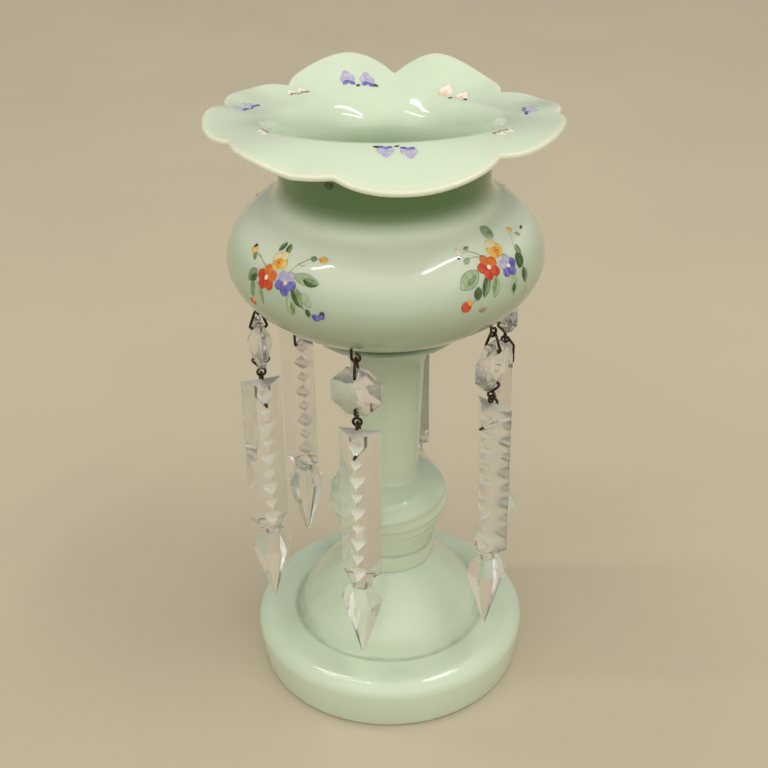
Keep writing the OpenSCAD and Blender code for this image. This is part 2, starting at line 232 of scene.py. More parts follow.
def piece(bm: Mesh, name: str, materials: Sequence[Material], crease: float | None) -> Object:
    """Turns a finished bmesh into an object at the origin.

    Args:
        bm: Mesh in metres, in the part's frame; it is freed.
        name: Name of the piece.
        materials: Materials in slot order.
        crease: Angle in degrees past which an edge stays sharp, or None for flat faces.

    Returns:
        The new object.
    """
    mesh = bpy.data.meshes.new(name)
    bm.to_mesh(mesh)
    bm.free()
    for m in materials:
        mesh.materials.append(m)
    if crease is not None:
        mesh.shade_smooth()
        mesh.set_sharp_from_angle(angle=math.radians(crease))
    return linked(name, mesh)


def bored(obj: Object, cutter: Object) -> None:
    """Cuts one object's solid out of another and removes the cutter."""
    cut = obj.modifiers.new("bore", "BOOLEAN")
    cut.operation = "DIFFERENCE"
    cut.solver = "EXACT"
    cut.object = cutter
    done = bpy.data.meshes.new_from_object(obj.evaluated_get(bpy.context.evaluated_depsgraph_get()))
    obj.modifiers.clear()
    obj.data = done
    bpy.data.objects.remove(cutter)


# Shader maths


class Value:
    """A number socket whose operators add Math nodes."""

    def __init__(self, graph: "Graph", socket: bpy.types.NodeSocket) -> None:
        """Holds the socket and the graph it belongs to."""
        self.graph = graph
        self.socket = socket

    def _math(self, operation: str, a: Any, b: Any) -> "Value":
        """Adds one Math node and returns its result."""
        made = self.graph.node("ShaderNodeMath", {"operation": operation}, {0: a, 1: b})
        return Value(self.graph, made.outputs[0])

    def __add__(self, other: Any) -> "Value":
        """Sum."""
        return self._math("ADD", self, other)

    __radd__ = __add__

    def __sub__(self, other: Any) -> "Value":
        """Difference."""
        return self._math("SUBTRACT", self, other)

    def __rsub__(self, other: Any) -> "Value":
        """Reflected difference."""
        return self._math("SUBTRACT", other, self)

    def __mul__(self, other: Any) -> "Value":
        """Product."""
        return self._math("MULTIPLY", self, other)

    __rmul__ = __mul__

    def ramp(self, low: float, high: float) -> "Value":
        """Returns 0 below low, 1 above high and a smooth step between."""
        made = self.graph.node("ShaderNodeMapRange", {"interpolation_type": "SMOOTHSTEP"},
                               {"Value": self, "From Min": low, "From Max": high})
        return Value(self.graph, made.outputs[0])


class Graph:
    """The node tree of a material or a world, with one shader at its end."""

    def __init__(self, owner: Material | bpy.types.World, shader: str, space: str) -> None:
        """Opens the owner's nodes.

        Args:
            owner: Material or world.
            shader: Name of the shader node at the end.
            space: Texture coordinates that patterns are laid on.
        """
        owner.use_nodes = True
        self.owner = owner
        self.tree = owner.node_tree
        self.shader = self.tree.nodes[shader]
        self.coords = self.node("ShaderNodeTexCoord").outputs[space]

    @classmethod
    def surface(cls, name: str) -> "Graph":
        """Returns the graph of a new material on Object coordinates."""
        return cls(bpy.data.materials.new(name), "Principled BSDF", "Object")

    def node(self, kind: str, settings: dict[str, Any] | None = None,
             sockets: dict[Any, Any] | None = None) -> bpy.types.Node:
        """Adds a node.

        Args:
            kind: Type name of the node.
            settings: Attributes set first.
            sockets: Values or links by input name or number.

        Returns:
            The new node.
        """
        made = self.tree.nodes.new(kind)
        for key, value in (settings or {}).items():
            setattr(made, key, value)
        for key, value in (sockets or {}).items():
            self.feed(made.inputs[key], value)
        return made

    def feed(self, socket: bpy.types.NodeSocket, value: Any) -> None:
        """Links or sets one input socket."""
        if isinstance(value, Value):
            value = value.socket
        if isinstance(value, bpy.types.NodeSocket):
            self.tree.links.new(value, socket)
        elif isinstance(value, tuple) and len(value) == 3 and socket.type == "RGBA":
            socket.default_value = (*value, 1.0)
        else:
            socket.default_value = value

    def noise(self, scale: float, detail: float = 2.0, stretch: Triple = (1.0, 1.0, 1.0)) -> Value:
        """Returns a 0 to 1 noise on Object coordinates.

        Args:
            scale: Cells per metre.
            detail: Number of finer layers.
            stretch: Factor on each axis.

        Returns:
            The noise as a value.
        """
        at = self.node("ShaderNodeMapping", None, {"Vector": self.coords, "Scale": stretch}).outputs[0]
        made = self.node("ShaderNodeTexNoise", None, {"Vector": at, "Scale": scale, "Detail": detail})
        return Value(self, made.outputs[0])

    def attribute(self, name: str) -> Value:
        """Returns a number attribute of the mesh."""
        return Value(self, self.node("ShaderNodeAttribute", {"attribute_name": name}).outputs["Fac"])

    def blend(self, factor: Any, a: Any, b: Any) -> bpy.types.NodeSocket:
        """Returns the colour between a and b at factor."""
        made = self.node("ShaderNodeMix", {"data_type": "RGBA"}, {0: factor, 6: a, 7: b})
        return made.outputs[2]

    def bump(self, height: Value, distance: float, strength: float = 1.0) -> None:
        """Feeds a height in metres times distance into the shader's normal."""
        made = self.node("ShaderNodeBump", None,
                         {"Height": height, "Distance": distance, "Strength": strength})
        self.feed(self.shader.inputs["Normal"], made.outputs[0])

    def set(self, **sockets: Any) -> None:
        """Sets or links the shader's own sockets, with _ for a space in the name."""
        for key, value in sockets.items():
            self.feed(self.shader.inputs[key.replace("_", " ")], value)


# Finishes


@dataclass(frozen=True)
class Opaline:
    """Glossy pale green opaline glass, cream where its edges are worn, with painted light and shade: paler on
    the shoulder and in the throat, darker green towards the bowl's bottom, on the stem's top and on the neck
    under the rim, darker in the pedestal's creases.
    """

    name: str
    body: Colour = (0.640, 0.752, 0.592)
    cloud: Colour = (0.672, 0.775, 0.620)
    # Painted light: the paler shoulder and throat.
    lit: Colour = (0.870, 0.960, 0.800)
    # Painted shade: the darker green under the bowl.
    painted_under_bowl_shade: Colour = (0.200, 0.255, 0.140)
    worn: Colour = (0.770, 0.790, 0.625)
    # Painted shade in the pedestal's creases; the glass's own dark specks share this colour.
    crease_shade_and_speck: Colour = (0.240, 0.270, 0.150)
    # Painted shadow: the deep green of the neck under the rim.
    painted_neck_shadow: Colour = (0.110, 0.215, 0.085)

    def material(self) -> Material:
        """Returns the node material."""
        g = Graph.surface(self.name)
        cloud = g.noise(22.0, 3.0).ramp(0.35, 0.7)
        wear = g.attribute("wear") * (0.65 + 0.35 * g.noise(420.0, 2.0))
        # Painted shade in the pedestal's creases, made patchy by noise.
        crease_shade_and_speck = g.attribute("crease_shade_and_speck") * (0.55 + 0.45 * g.noise(160.0, 4.0).ramp(0.3, 0.8))
        speck = g.noise(900.0, 1.0).ramp(0.74, 0.80)
        tint = g.blend(cloud, self.body, self.cloud)
        # Painted light on the shoulder and in the throat.
        tint = g.blend(g.attribute("lit"), tint, self.lit)
        # Painted shade: darker towards the bowl's bottom and on the stem's top under the bowl.
        tint = g.blend(g.attribute("painted_under_bowl_shade"), tint, self.painted_under_bowl_shade)
        # Painted shadow on the neck under the rim.
        tint = g.blend(g.attribute("painted_neck_shadow"), tint, self.painted_neck_shadow)
        tint = g.blend(wear, tint, self.worn)
        # Painted crease shade, and the glass's own dark specks, in one dark colour.
        tint = g.blend(crease_shade_and_speck * 0.5 + speck * 0.10, tint, self.crease_shade_and_speck)
        g.set(Base_Color=tint, Roughness=0.06 + 0.04 * g.noise(60.0, 3.0) + 0.25 * wear + 0.2 * crease_shade_and_speck,
              IOR=1.5, Subsurface_Weight=0.35, Subsurface_Radius=(0.7, 1.0, 0.65), Subsurface_Scale=0.005,
              Coat_Weight=0.35, Coat_Roughness=0.04)
        g.bump(g.noise(38.0, 1.0) + 0.02 * g.noise(900.0, 2.0), 0.0012, 0.4)
        return g.owner


@dataclass(frozen=True)
class Crystal:
    """Clear cut lead crystal, a little warm, with faint smears on its polish."""

    name: str = "cut_crystal"
    tint: Colour = (0.985, 0.975, 0.945)

    def material(self) -> Material:
        """Returns the node material."""
        g = Graph.surface(self.name)
        smear = g.noise(130.0, 4.0).ramp(0.45, 0.8)
        g.set(Base_Color=g.blend(smear, self.tint, (0.95, 0.93, 0.88)), Roughness=0.006 + 0.05 * smear,
              IOR=1.5, Transmission_Weight=0.89)
        g.bump(g.noise(90.0, 2.0), 0.0004, 0.35)
        return g.owner


@dataclass(frozen=True)
class ScoopGlintCrystal:
    """Pale, partly opaque crystal on the scoops and the top of a prism: a painted glint for the bright light
    that the polished scoops catch.
    """

    name: str = "scoop_glint_crystal"
    # Painted glint: pale colours for the bright scoops.
    pale: Colour = (0.940, 0.915, 0.860)
    dull: Colour = (0.860, 0.835, 0.770)

    def material(self) -> Material:
        """Returns the node material."""
        g = Graph.surface(self.name)
        grain = g.noise(420.0, 2.0).ramp(0.35, 0.7)
        g.set(Base_Color=g.blend(grain, self.pale, self.dull), Roughness=0.10 + 0.10 * grain, IOR=1.5,
              Transmission_Weight=0.45)
        g.bump(grain, 0.0001, 0.08)
        return g.owner


@dataclass(frozen=True)
class OldWire:
    """Dark oxidised wire with brown bloom in patches."""

    name: str = "oxidised_wire"
    dark: Colour = (0.030, 0.022, 0.017)
    bloom: Colour = (0.115, 0.062, 0.034)

    def material(self) -> Material:
        """Returns the node material."""
        g = Graph.surface(self.name)
        bloom = g.noise(600.0, 4.0).ramp(0.42, 0.68)
        g.set(Base_Color=g.blend(bloom, self.dark, self.bloom), Metallic=0.85 - 0.55 * bloom,
              Roughness=0.38 + 0.32 * bloom)
        g.bump(g.noise(1500.0, 3.0), 0.00012, 0.8)
        return g.owner


@dataclass(frozen=True)
class Enamel:
    """Hand-brushed enamel colour, thin at the edge of each stroke."""

    name: str
    full: Colour
    thin: Colour

    def material(self) -> Material:
        """Returns the node material."""
        g = Graph.surface("enamel_" + self.name)
        streak = g.noise(700.0, 3.0, (1.0, 1.0, 0.45)).ramp(0.38, 0.66)
        g.set(Base_Color=g.blend(streak, self.full, self.thin), Roughness=0.34 + 0.22 * g.noise(1200.0, 2.0),
              Coat_Weight=0.15)
        g.bump(streak, 0.00010, 0.7)
        return g.owner


@dataclass(frozen=True)
class Gilding:
    """Thin gilt line, rubbed through to the glass in places."""

    name: str = "rubbed_gilding"
    gold: Colour = (0.80, 0.52, 0.16)
    bare: Colour = (0.40, 0.47, 0.30)

    def material(self) -> Material:
        """Returns the node material."""
        g = Graph.surface(self.name)
        rub = g.noise(260.0, 4.0).ramp(0.52, 0.66)
        g.set(Base_Color=g.blend(rub, self.gold, self.bare), Metallic=0.9 - 0.8 * rub,
              Roughness=0.28 + 0.2 * g.noise(500.0, 2.0))
        return g.owner


@dataclass(frozen=True)
class Backdrop:
    """Plain pale cloth-like floor."""

    name: str = "pale_backdrop"
    pale: Colour = (0.600, 0.530, 0.395)
    shade: Colour = (0.570, 0.505, 0.380)

    def material(self) -> Material:
        """Returns the node material."""
        g = Graph.surface(self.name)
        g.set(Base_Color=g.blend(g.noise(5.0, 3.0).ramp(0.3, 0.7), self.pale, self.shade), Roughness=0.9)
        g.bump(g.noise(700.0, 2.0), 0.0003, 0.3)
        return g.owner


class Paint(Enum):
    """Enamel colours of the painted flowers."""

    RED = Enamel("red", (0.560, 0.040, 0.006), (0.660, 0.090, 0.015))
    VERMILION = Enamel("vermilion", (0.700, 0.130, 0.012), (0.760, 0.210, 0.030))
    BLUE = Enamel("violet_blue", (0.090, 0.090, 0.400), (0.210, 0.200, 0.520))
    LILAC = Enamel("lilac", (0.430, 0.390, 0.620), (0.560, 0.540, 0.640))
    YELLOW = Enamel("yellow", (0.850, 0.520, 0.080), (0.880, 0.650, 0.200))
    CREAM = Enamel("cream_yellow", (0.860, 0.740, 0.360), (0.870, 0.790, 0.480))
    ORANGE = Enamel("orange", (0.82, 0.30, 0.03), (0.88, 0.44, 0.08))
    DARK_LEAF = Enamel("dark_leaf", (0.038, 0.075, 0.022), (0.090, 0.150, 0.045))
    LEAF = Enamel("leaf", (0.165, 0.260, 0.095), (0.270, 0.370, 0.180))
    PALE_LEAF = Enamel("pale_leaf", (0.330, 0.440, 0.250), (0.420, 0.540, 0.340))
    WHITE = Enamel("white", (0.86, 0.82, 0.70), (0.90, 0.86, 0.76))
    PINK = Enamel("pink", (0.80, 0.58, 0.46), (0.86, 0.68, 0.56))
    DARK = Enamel("dark", (0.022, 0.022, 0.016), (0.060, 0.055, 0.035))
    STEM = Enamel("stem", (0.30, 0.22, 0.10), (0.42, 0.34, 0.20))


# Blown glass


@dataclass
class Bowl:
    """The blown bowl with its neck and its waving petalled rim."""

    belly_r: float = 62.3
    z_belly: float = 198.21
    low_h: float = 32.0
    up_h: float = 33.0
    low_n: float = 1.85
    up_n: float = 1.98
    neck_r: float = 40.8
    z_neck: float = 229.71
    z_crest: float = 252.6
    crest_tilt: float = 8.1
    crest_r: float = 47.8
    glass: float = 3.4
    seat_r: float = 20.0
    z_seat: float = 168.387
    floor_t: float = 5.0
    shoulder_r: float = 46.0
    edge_r: float = 1.2
    bore_r: float = 1.15
    bore_side: float = 1.65
    bore_up: float = 15.0
    sectors: int = 360
    rim_rows: int = 35
    # Painted shadow: its rise up the neck and its reach out under the rim.
    painted_neck_shadow_rise: Pair = (-8.0, 2.0)
    painted_neck_shadow_reach: Pair = (-2.0, 12.0)
    # Painted shade: how dark the bowl grows towards its bottom, and over what rise.
    painted_under_bowl_shade_share: float = 0.72
    painted_under_bowl_shade_rise: Pair = (10.0, 60.0)
    # Painted light: where the shoulder grows paler, and how much paler the throat is and over what rise.
    lit_rise: Pair = (36.0, 46.0)
    throat_lit: float = 0.05
    throat_rise: Pair = (4.0, 14.0)
    notches: tuple[Pair, ...] = ((-15.5, 65.0), (39.5, 62.8), (89.5, 65.5), (129.0, 60.5),
                                 (175.8, 60.0), (219.5, 60.5), (256.0, 62.0), (298.0, 62.5))
    tips: tuple[Pair, ...] = ((8.0, 69.4), (76.0, 68.0), (106.0, 67.8), (154.0, 69.0),
                              (196.0, 69.0), (236.0, 67.5), (274.0, 67.8), (325.0, 66.5))
    edge_heights: tuple[Pair, ...] = ((8.0, 251.3), (38.0, 255.2), (66.0, 256.5), (92.0, 254.6),
                                      (117.0, 249.8), (138.0, 250.2), (161.0, 257.2), (176.0, 253.6),
                                      (193.0, 257.4), (214.0, 252.6), (230.0, 251.0), (247.0, 253.0),
                                      (264.0, 255.0), (290.0, 254.7), (311.0, 256.2), (339.0, 253.1))
    petal_power: float = 3.5

    def petal(self, theta: float) -> float:
        """Returns the rim's outer radius at azimuth theta in degrees, with its cusps eased."""
        return sum(self._lobe(theta + d) for d in (-0.8, -0.4, 0.0, 0.4, 0.8)) / 5.0

    def _lobe(self, theta: float) -> float:
        """Returns the radius of the round petal that azimuth theta falls on."""
        for i, (tip, reach) in enumerate(self.tips):
            a0, low0 = self.notches[i]
            a1, low1 = self.notches[(i + 1) % len(self.notches)]
            t = (theta - a0) % 360.0
            if t <= (a1 - a0) % 360.0:
                lead = (tip - a0) % 360.0
                if t < lead:
                    side, low = 1.0 - t / lead, low0
                else:
                    side, low = (t - lead) / ((a1 - tip) % 360.0), low1
                return reach - (reach - low) * side ** self.petal_power
        return self.tips[0][1]

    def sweep(self, theta: float) -> float:
        """Returns the radius that the rim's face runs out to, which does not dip at the notches."""
        return max(self._lobe(theta + d) for d in range(-16, 17, 4))

    def edge_height(self, theta: float) -> float:
        """Returns the height of the rim's edge at azimuth theta in degrees."""
        points = self.edge_heights
        for i, (a, z) in enumerate(points):
            b, other = points[(i + 1) % len(points)]
            span = (b - a) % 360.0
            t = (theta - a) % 360.0
            if t <= span:
                return z + (other - z) * smooth(t, 0.0, span)
        return points[0][1]

    def top(self, r: float, theta: float) -> float:
        """Returns the height of the rim's upper face.

        Args:
            r: Radius, from the neck's inside to the rim's edge.
            theta: Azimuth in degrees.

        Returns:
            The height of the glass there.
        """
        crest, slope, fall, lead = self.crest(theta)
        if r >= self.crest_r:
            e = (r - self.crest_r) / (self.sweep(theta) - self.crest_r)
            return crest + fall * (lead * e + (1.0 - lead) * e * e)
        lip = self._lip_in(crest, slope)
        for p, q in zip(lip, lip[1:]):
            if q[0] <= r <= p[0]:
                return p[1] + (q[1] - p[1]) * (p[0] - r) / max(1e-6, p[0] - q[0])
        return lip[-1][1]

    def crest(self, theta: float) -> tuple[float, float, float, float]:
        """Returns the crest's height, the slope there, the fall to the edge and how soon it falls."""
        crest = self.z_crest + self.crest_tilt * math.cos(math.radians(theta))
        fall = self.edge_height(theta) - crest
        lead = min(1.2, max(0.3, 0.78 + 0.05 * fall))
        return crest, fall * lead / (self.sweep(theta) - self.crest_r), fall, lead

    def _lip_in(self, crest: float, slope: float) -> list[Pair]:
        """Returns the inner flare from the crest down into the neck."""
        neck_in = self.neck_r - self.glass
        low = self.z_neck + 1.0
        start = (self.crest_r, crest)
        return [start] + bezier(start, (self.crest_r - 7.0, crest - 7.0 * slope),
                                (neck_in, low + 0.5 * (crest - low)), (neck_in, low), 18)

    def outside(self) -> list[Pair]:
        """Returns the outer wall from the ground seat up to the neck."""
        low = swelling(self.seat_r, self.belly_r, self.belly_r, self.low_h, self.low_n, self.z_belly, -1, 30)
        up = swelling(self.belly_r, self.shoulder_r, self.belly_r, self.up_h, self.up_n, self.z_belly, 1, 22)
        end = up[-1]
        neck = bezier(end, (end[0] - 3.0, end[1] + 1.8), (self.neck_r, self.z_neck - 3.5),
                      (self.neck_r, self.z_neck), 9)
        return low + up[1:] + neck

    def flare(self, theta: float) -> list[Pair]:
        """Returns the underside of the rim from the neck out to its edge, at azimuth theta in degrees."""
        crest, slope, _, _ = self.crest(theta)
        start = (self.neck_r, self.z_neck)
        turn = (self.crest_r + 0.8, crest - self.glass + 0.8 * slope)
        lip = bezier(start, (self.neck_r, start[1] + 0.5 * (turn[1] - start[1])),
                     (turn[0] - 6.5, turn[1] - 6.5 * slope), turn, 18)
        far = self.petal(theta) - self.edge_r
        for i in range(1, 17):
            r = turn[0] + (far - turn[0]) * i / 16
            lip.append((r, self.top(r, theta) - self.glass + (self.glass - 2 * self.edge_r) * i / 16))
        return lip

    def profile(self, theta: float) -> list[Pair]:
        """Returns the whole closed section at azimuth theta in degrees, from the seat to the inner floor."""
        in_r = self.belly_r - self.glass
        far = self.petal(theta) - self.edge_r
        crest, slope, _, _ = self.crest(theta)
        rim = []
        for i in range(16):
            r = far + (self.crest_r - far) * i / 16
            rim.append((r, self.top(r, theta)))
        edge = arc(far, rim[0][1] - self.edge_r, self.edge_r, self.edge_r, -90, 90, 8)[1:-1]
        lip = self._lip_in(crest, slope)
        up = swelling(in_r, self.shoulder_r - self.glass, in_r, self.up_h - self.glass, self.up_n,
                      self.z_belly, 1, 16)
        end = up[-1]
        neck = bezier(lip[-1], (lip[-1][0], self.z_neck - 3.0), (end[0] - 2.5, end[1] + 1.6), end, 7)
        floor_h = self.z_belly - self.z_seat - self.floor_t
        low = swelling(0.4, in_r, in_r, floor_h, self.low_n, self.z_belly, -1, 20)
        inner = rim + lip + neck + up[-2::-1] + low[-2::-1]
        return ([(0.0, self.z_seat)] + self.outside() + self.flare(theta) + edge + inner
                + [(0.0, self.z_seat + self.floor_t)])

    def _span(self, x: float, start: float, reach: Pair) -> float:
        """Returns how far x has come over a reach measured from start, from 0 to 1."""
        return smooth(x, start + reach[0], start + reach[1])

    def build(self, glass: Material) -> Object:
        """Builds the bowl.

        Args:
            glass: Material of the bowl.

        Returns:
            The bowl's object.
        """
        plain = self.profile(0.0)
        place = KDTree(len(plain))
        for i, (r, z) in enumerate(plain):
            place.insert((r, 0.0, z), i)
        place.balance()
        bm = spun(plain, self.sectors)
        wear = bm.verts.layers.float.new("wear")
        painted_neck_shadow = bm.verts.layers.float.new("painted_neck_shadow")
        lit = bm.verts.layers.float.new("lit")
        painted_under_bowl_shade = bm.verts.layers.float.new("painted_under_bowl_shade")
        brim = len(self.outside()) + self.rim_rows
        sections = [self.profile(360.0 * k / self.sectors) for k in range(self.sectors)]
        for v in bm.verts:
            r, z = math.hypot(v.co.x, v.co.y) / MM, v.co.z / MM
            if r < 1e-6:
                continue
            i = place.find((r, 0.0, z))[1]
            k = round(math.degrees(math.atan2(v.co.x, -v.co.y)) * self.sectors / 360.0) % self.sectors
            r, z = sections[k][i]
            v.co = polar(TURN * k / self.sectors, r, z)
            v[wear] = 1.0 - smooth(abs(i - brim - 3), 3.0, 6.0)
            if i < brim:
                # Painted shadow: deep green on the neck and under the rim, fading outward.
                under = self._span(r, self.crest_r, self.painted_neck_shadow_reach)
                v[painted_neck_shadow] = self._span(z, self.z_neck, self.painted_neck_shadow_rise) * (1.0 - under)
                # Painted shade: darker towards the bowl's bottom.
                v[painted_under_bowl_shade] = self.painted_under_bowl_shade_share * (1.0 - self._span(z, self.z_seat, self.painted_under_bowl_shade_rise))
                # Painted light: a paler shoulder below the neck.
                neck = smooth(z, self.z_neck + self.painted_neck_shadow_rise[0], self.z_neck)
                v[lit] = self._span(z, self.z_seat, self.lit_rise) * (1.0 - neck)
            else:
                # Painted light: a paler throat inside the neck.
                v[lit] = self.throat_lit * (1.0 - self._span(z, self.z_neck, self.throat_rise))
        obj = piece(bm, "bowl_glass", [glass], 50.0)
        self._bore(obj)
        return obj

    def _bore(self, obj: Object) -> None:
        """Drills the six holes that the wire hooks hang in."""
        bm = bmesh.new()
        for k in range(6):
            hole = bmesh.ops.create_cone(bm, cap_ends=True, segments=20, radius1=self.bore_r * MM,
                                         radius2=self.bore_r * MM, depth=0.03)["verts"]
            bmesh.ops.transform(bm, verts=hole, matrix=Drop(k + 1).frame() @ Matrix.Translation(
                Vector((0.0, -self.bore_side, self.z_seat + self.bore_up)) * MM))
        bored(obj, piece(bm, "hook_bores", [], None))


@dataclass
class Pedestal:
    """The hollow-blown pedestal: foot, dome, ring, wrythen knop, stem and flare."""

    foot_r: float = 59.6
    foot_h: float = 23.7
    foot_in_r: float = 50.0
    edge_r: float = 7.0
    dome_r: float = 39.9
    dome_h: float = 28.9
    collar_r: float = 20.0
    collar_h: float = 8.7
    waist_r: float = 19.2
    knop_r: float = 25.5
    knop_h: float = 32.7
    belly: float = 0.617
    stem_low_r: float = 12.7
    stem_top_r: float = 15.1
    stem_h: float = 51.5
    flare_r: float = 21.1
    flare_h: float = 20.5
    wall: float = 5.0
    seat_r: float = 20.0
    z_joint: float = 166.387
    ribs: int = 3
    rib_pitch: float = 5.7
    rib_depth: float = 0.4
    knop_in_r: float = 12.5
    groove_out: float = 1.6
    # Painted shade: darker on the stem's top and the flare under the bowl.
    painted_under_bowl_shade_share: float = 0.5
    painted_under_bowl_shade_rise: Pair = (-22.0, 15.0)
    sectors: int = 264
    z_knop: float = field(init=False)
    z_stem: float = field(init=False)

    def __post_init__(self) -> None:
        """Works out the heights of the knop and the stem."""
        self.z_knop = self.foot_h + self.dome_h + self.collar_h
        self.z_stem = self.z_knop + self.knop_h

    def outside(self) -> list[Pair]:
        """Returns the outer wall from the standing ring up to the joint."""
        h, turn = self.foot_h, self.edge_r
        z_collar = h + self.dome_h
        z_belly = self.z_knop + self.belly * self.knop_h
        waist = self.waist_r
        top_r = waist - 0.3
        lip = math.degrees(math.asin(self.flare_h / self.flare_r))
        z_flare = self.z_stem + self.stem_h
        ring = [(self.foot_in_r, 0.0), (self.foot_r - 3.4, 0.0)]
        ring += bezier(ring[-1], (self.foot_r - 2.4, 0.0), (self.foot_r - 2.1, 0.6),
                       (self.foot_r - 2.0, 1.6), 5)
        ring += arc(self.foot_r - turn, h - turn, turn, turn, 0, 88, 16)
        ring += [(self.dome_r + 5.0, h - 0.05)]
        rim = self.dome_r
        groove = bezier(ring[-1], (rim + 2.4, h - 0.1), (rim + 2.0, h - 1.2), (rim + 0.8, h - 0.9), 7)
        rise = bezier(groove[-1], (rim - 0.2, h - 0.6), (rim - 0.4, h + 0.5), (rim - 0.7, h + 2.0), 5)
        dome = bezier(rise[-1], (rim - 2.6, h + 0.44 * self.dome_h), (rim - 13.0, h + 0.72 * self.dome_h),
                      (top_r, z_collar), 20)
        collar = arc(top_r, z_collar + 0.5 * self.collar_h, self.collar_r - top_r, 0.46 * self.collar_h,
                     -80, 80, 14)
        low = bezier((waist, self.z_knop), (waist + 1.4, self.z_knop + 7.0), (self.knop_r, z_belly - 2.0),
                     (self.knop_r, z_belly), 40)
        high = arc(self.stem_low_r, z_belly, self.knop_r - self.stem_low_r, self.z_stem - z_belly, 0, 82, 36)
        ease = bezier(high[-1], (high[-1][0] - 1.6, high[-1][1] + 0.5), (self.stem_low_r, self.z_stem + 1.2),
                      (self.stem_low_r + 0.1, self.z_stem + 4.0), 6)
        stem = [(self.stem_low_r + (self.stem_top_r - self.stem_low_r) * t, self.z_stem + self.stem_h * t)
                for t in (0.2, 0.35, 0.5, 0.65, 0.8, 0.92)]
        flare = arc(self.stem_top_r + self.flare_r, z_flare, self.flare_r, self.flare_r, 180, 180 - lip, 16)
        end = flare[-1]
        edge = bezier(end, (end[0] + 0.5, end[1] + 0.6), (end[0] + 0.1, end[1] + 1.9),
                      (end[0] - 1.8, end[1] + 2.0), 7)
        joint = [(self.seat_r + 1.5, self.z_joint), (0.0, self.z_joint)]
        foot = ring + groove + rise + dome + collar + [(waist, self.z_knop)]
        return foot + low + high[1:] + ease + stem + flare + edge + joint

    def inside(self) -> list[Pair]:
        """Returns the inner wall from the closed top of the stem down to the standing ring."""
        roof = self.foot_h - self.wall
        z_flare = self.z_stem + self.stem_h
        waist = self.waist_r - self.wall
        z_collar = self.foot_h + self.dome_h - 1.0
        top_in, low_in = self.stem_top_r - self.wall, self.stem_low_r - self.wall
        bore = [(0.0, z_flare + 9.0), (top_in - 3.0, z_flare + 7.0), (top_in, z_flare),
                (low_in + 0.6, self.z_stem), (self.knop_r / 2 + 2.0, self.z_knop + self.belly * self.knop_h),
                (waist, self.z_knop), (waist + 0.4, z_collar)]
        dome = bezier(bore[-1], (self.dome_r - 18.0, roof + 0.7 * self.dome_h),
                      (self.dome_r - 8.0, roof + 0.35 * self.dome_h), (self.dome_r - 7.0, roof), 10)
        foot = [(self.foot_in_r - 4.0, roof), (self.foot_in_r, roof - 4.0), (self.foot_in_r, 0.0)]
        return bore + dome + foot

    def _painted_crease_shade(self, r: float, z: float) -> float:
        """Returns the painted shade in the groove round the dome, round the foot and under the knop."""
        groove = 1.0 - smooth(abs(r - self.dome_r - self.groove_out), 0.3, 2.2)
        groove *= 1.0 - smooth(abs(z - self.foot_h), 0.6, 2.5)
        foot = 1.0 - smooth(z, 0.2, 2.4)
        under = 0.8 * (1.0 - smooth(abs(z - self.z_knop), 0.3, 1.6)) * smooth(r, 17.0, 18.5)
        return groove + foot + under

    def _swirl(self, theta: float, z: float) -> float:
        """Returns the height of the knop's swirled ribs, which fade out at its two ends."""
        here = smooth(z, self.z_knop + 8.0, self.z_knop + 15.0)
        here *= 1.0 - smooth(z, self.z_stem - 6.0, self.z_stem + 3.0)
        return here * self.rib_depth * math.cos(self.ribs * theta - TURN * (z - self.z_knop) / self.rib_pitch)

    def build(self, glass: Material) -> Object:
        """Builds the pedestal.

        Args:
            glass: Material of the pedestal.

        Returns:
            The pedestal's object.
        """
        bm = spun(self.outside() + self.inside(), self.sectors)
        crease_shade_and_speck = bm.verts.layers.float.new("crease_shade_and_speck")
        painted_under_bowl_shade = bm.verts.layers.float.new("painted_under_bowl_shade")
        z_flare = self.z_stem + self.stem_h
        for v in bm.verts:
            r = math.hypot(v.co.x, v.co.y) / MM
            z = v.co.z / MM
            theta = math.atan2(v.co.x, -v.co.y)
            # Painted shade in the groove round the dome, round the foot and under the knop.
            v[crease_shade_and_speck] = self._painted_crease_shade(r, z)
            # Painted shade on the stem's top and the flare under the bowl.
            rise = smooth(z, z_flare + self.painted_under_bowl_shade_rise[0], z_flare + self.painted_under_bowl_shade_rise[1])
            v[painted_under_bowl_shade] = self.painted_under_bowl_shade_share * rise
            if r > self.knop_in_r and self.z_knop < z < self.z_stem + 4.0:
                v.co = polar(theta, r + self._swirl(theta, z), z)
        return piece(bm, "pedestal_glass", [glass], 50.0)


# Crystal drops


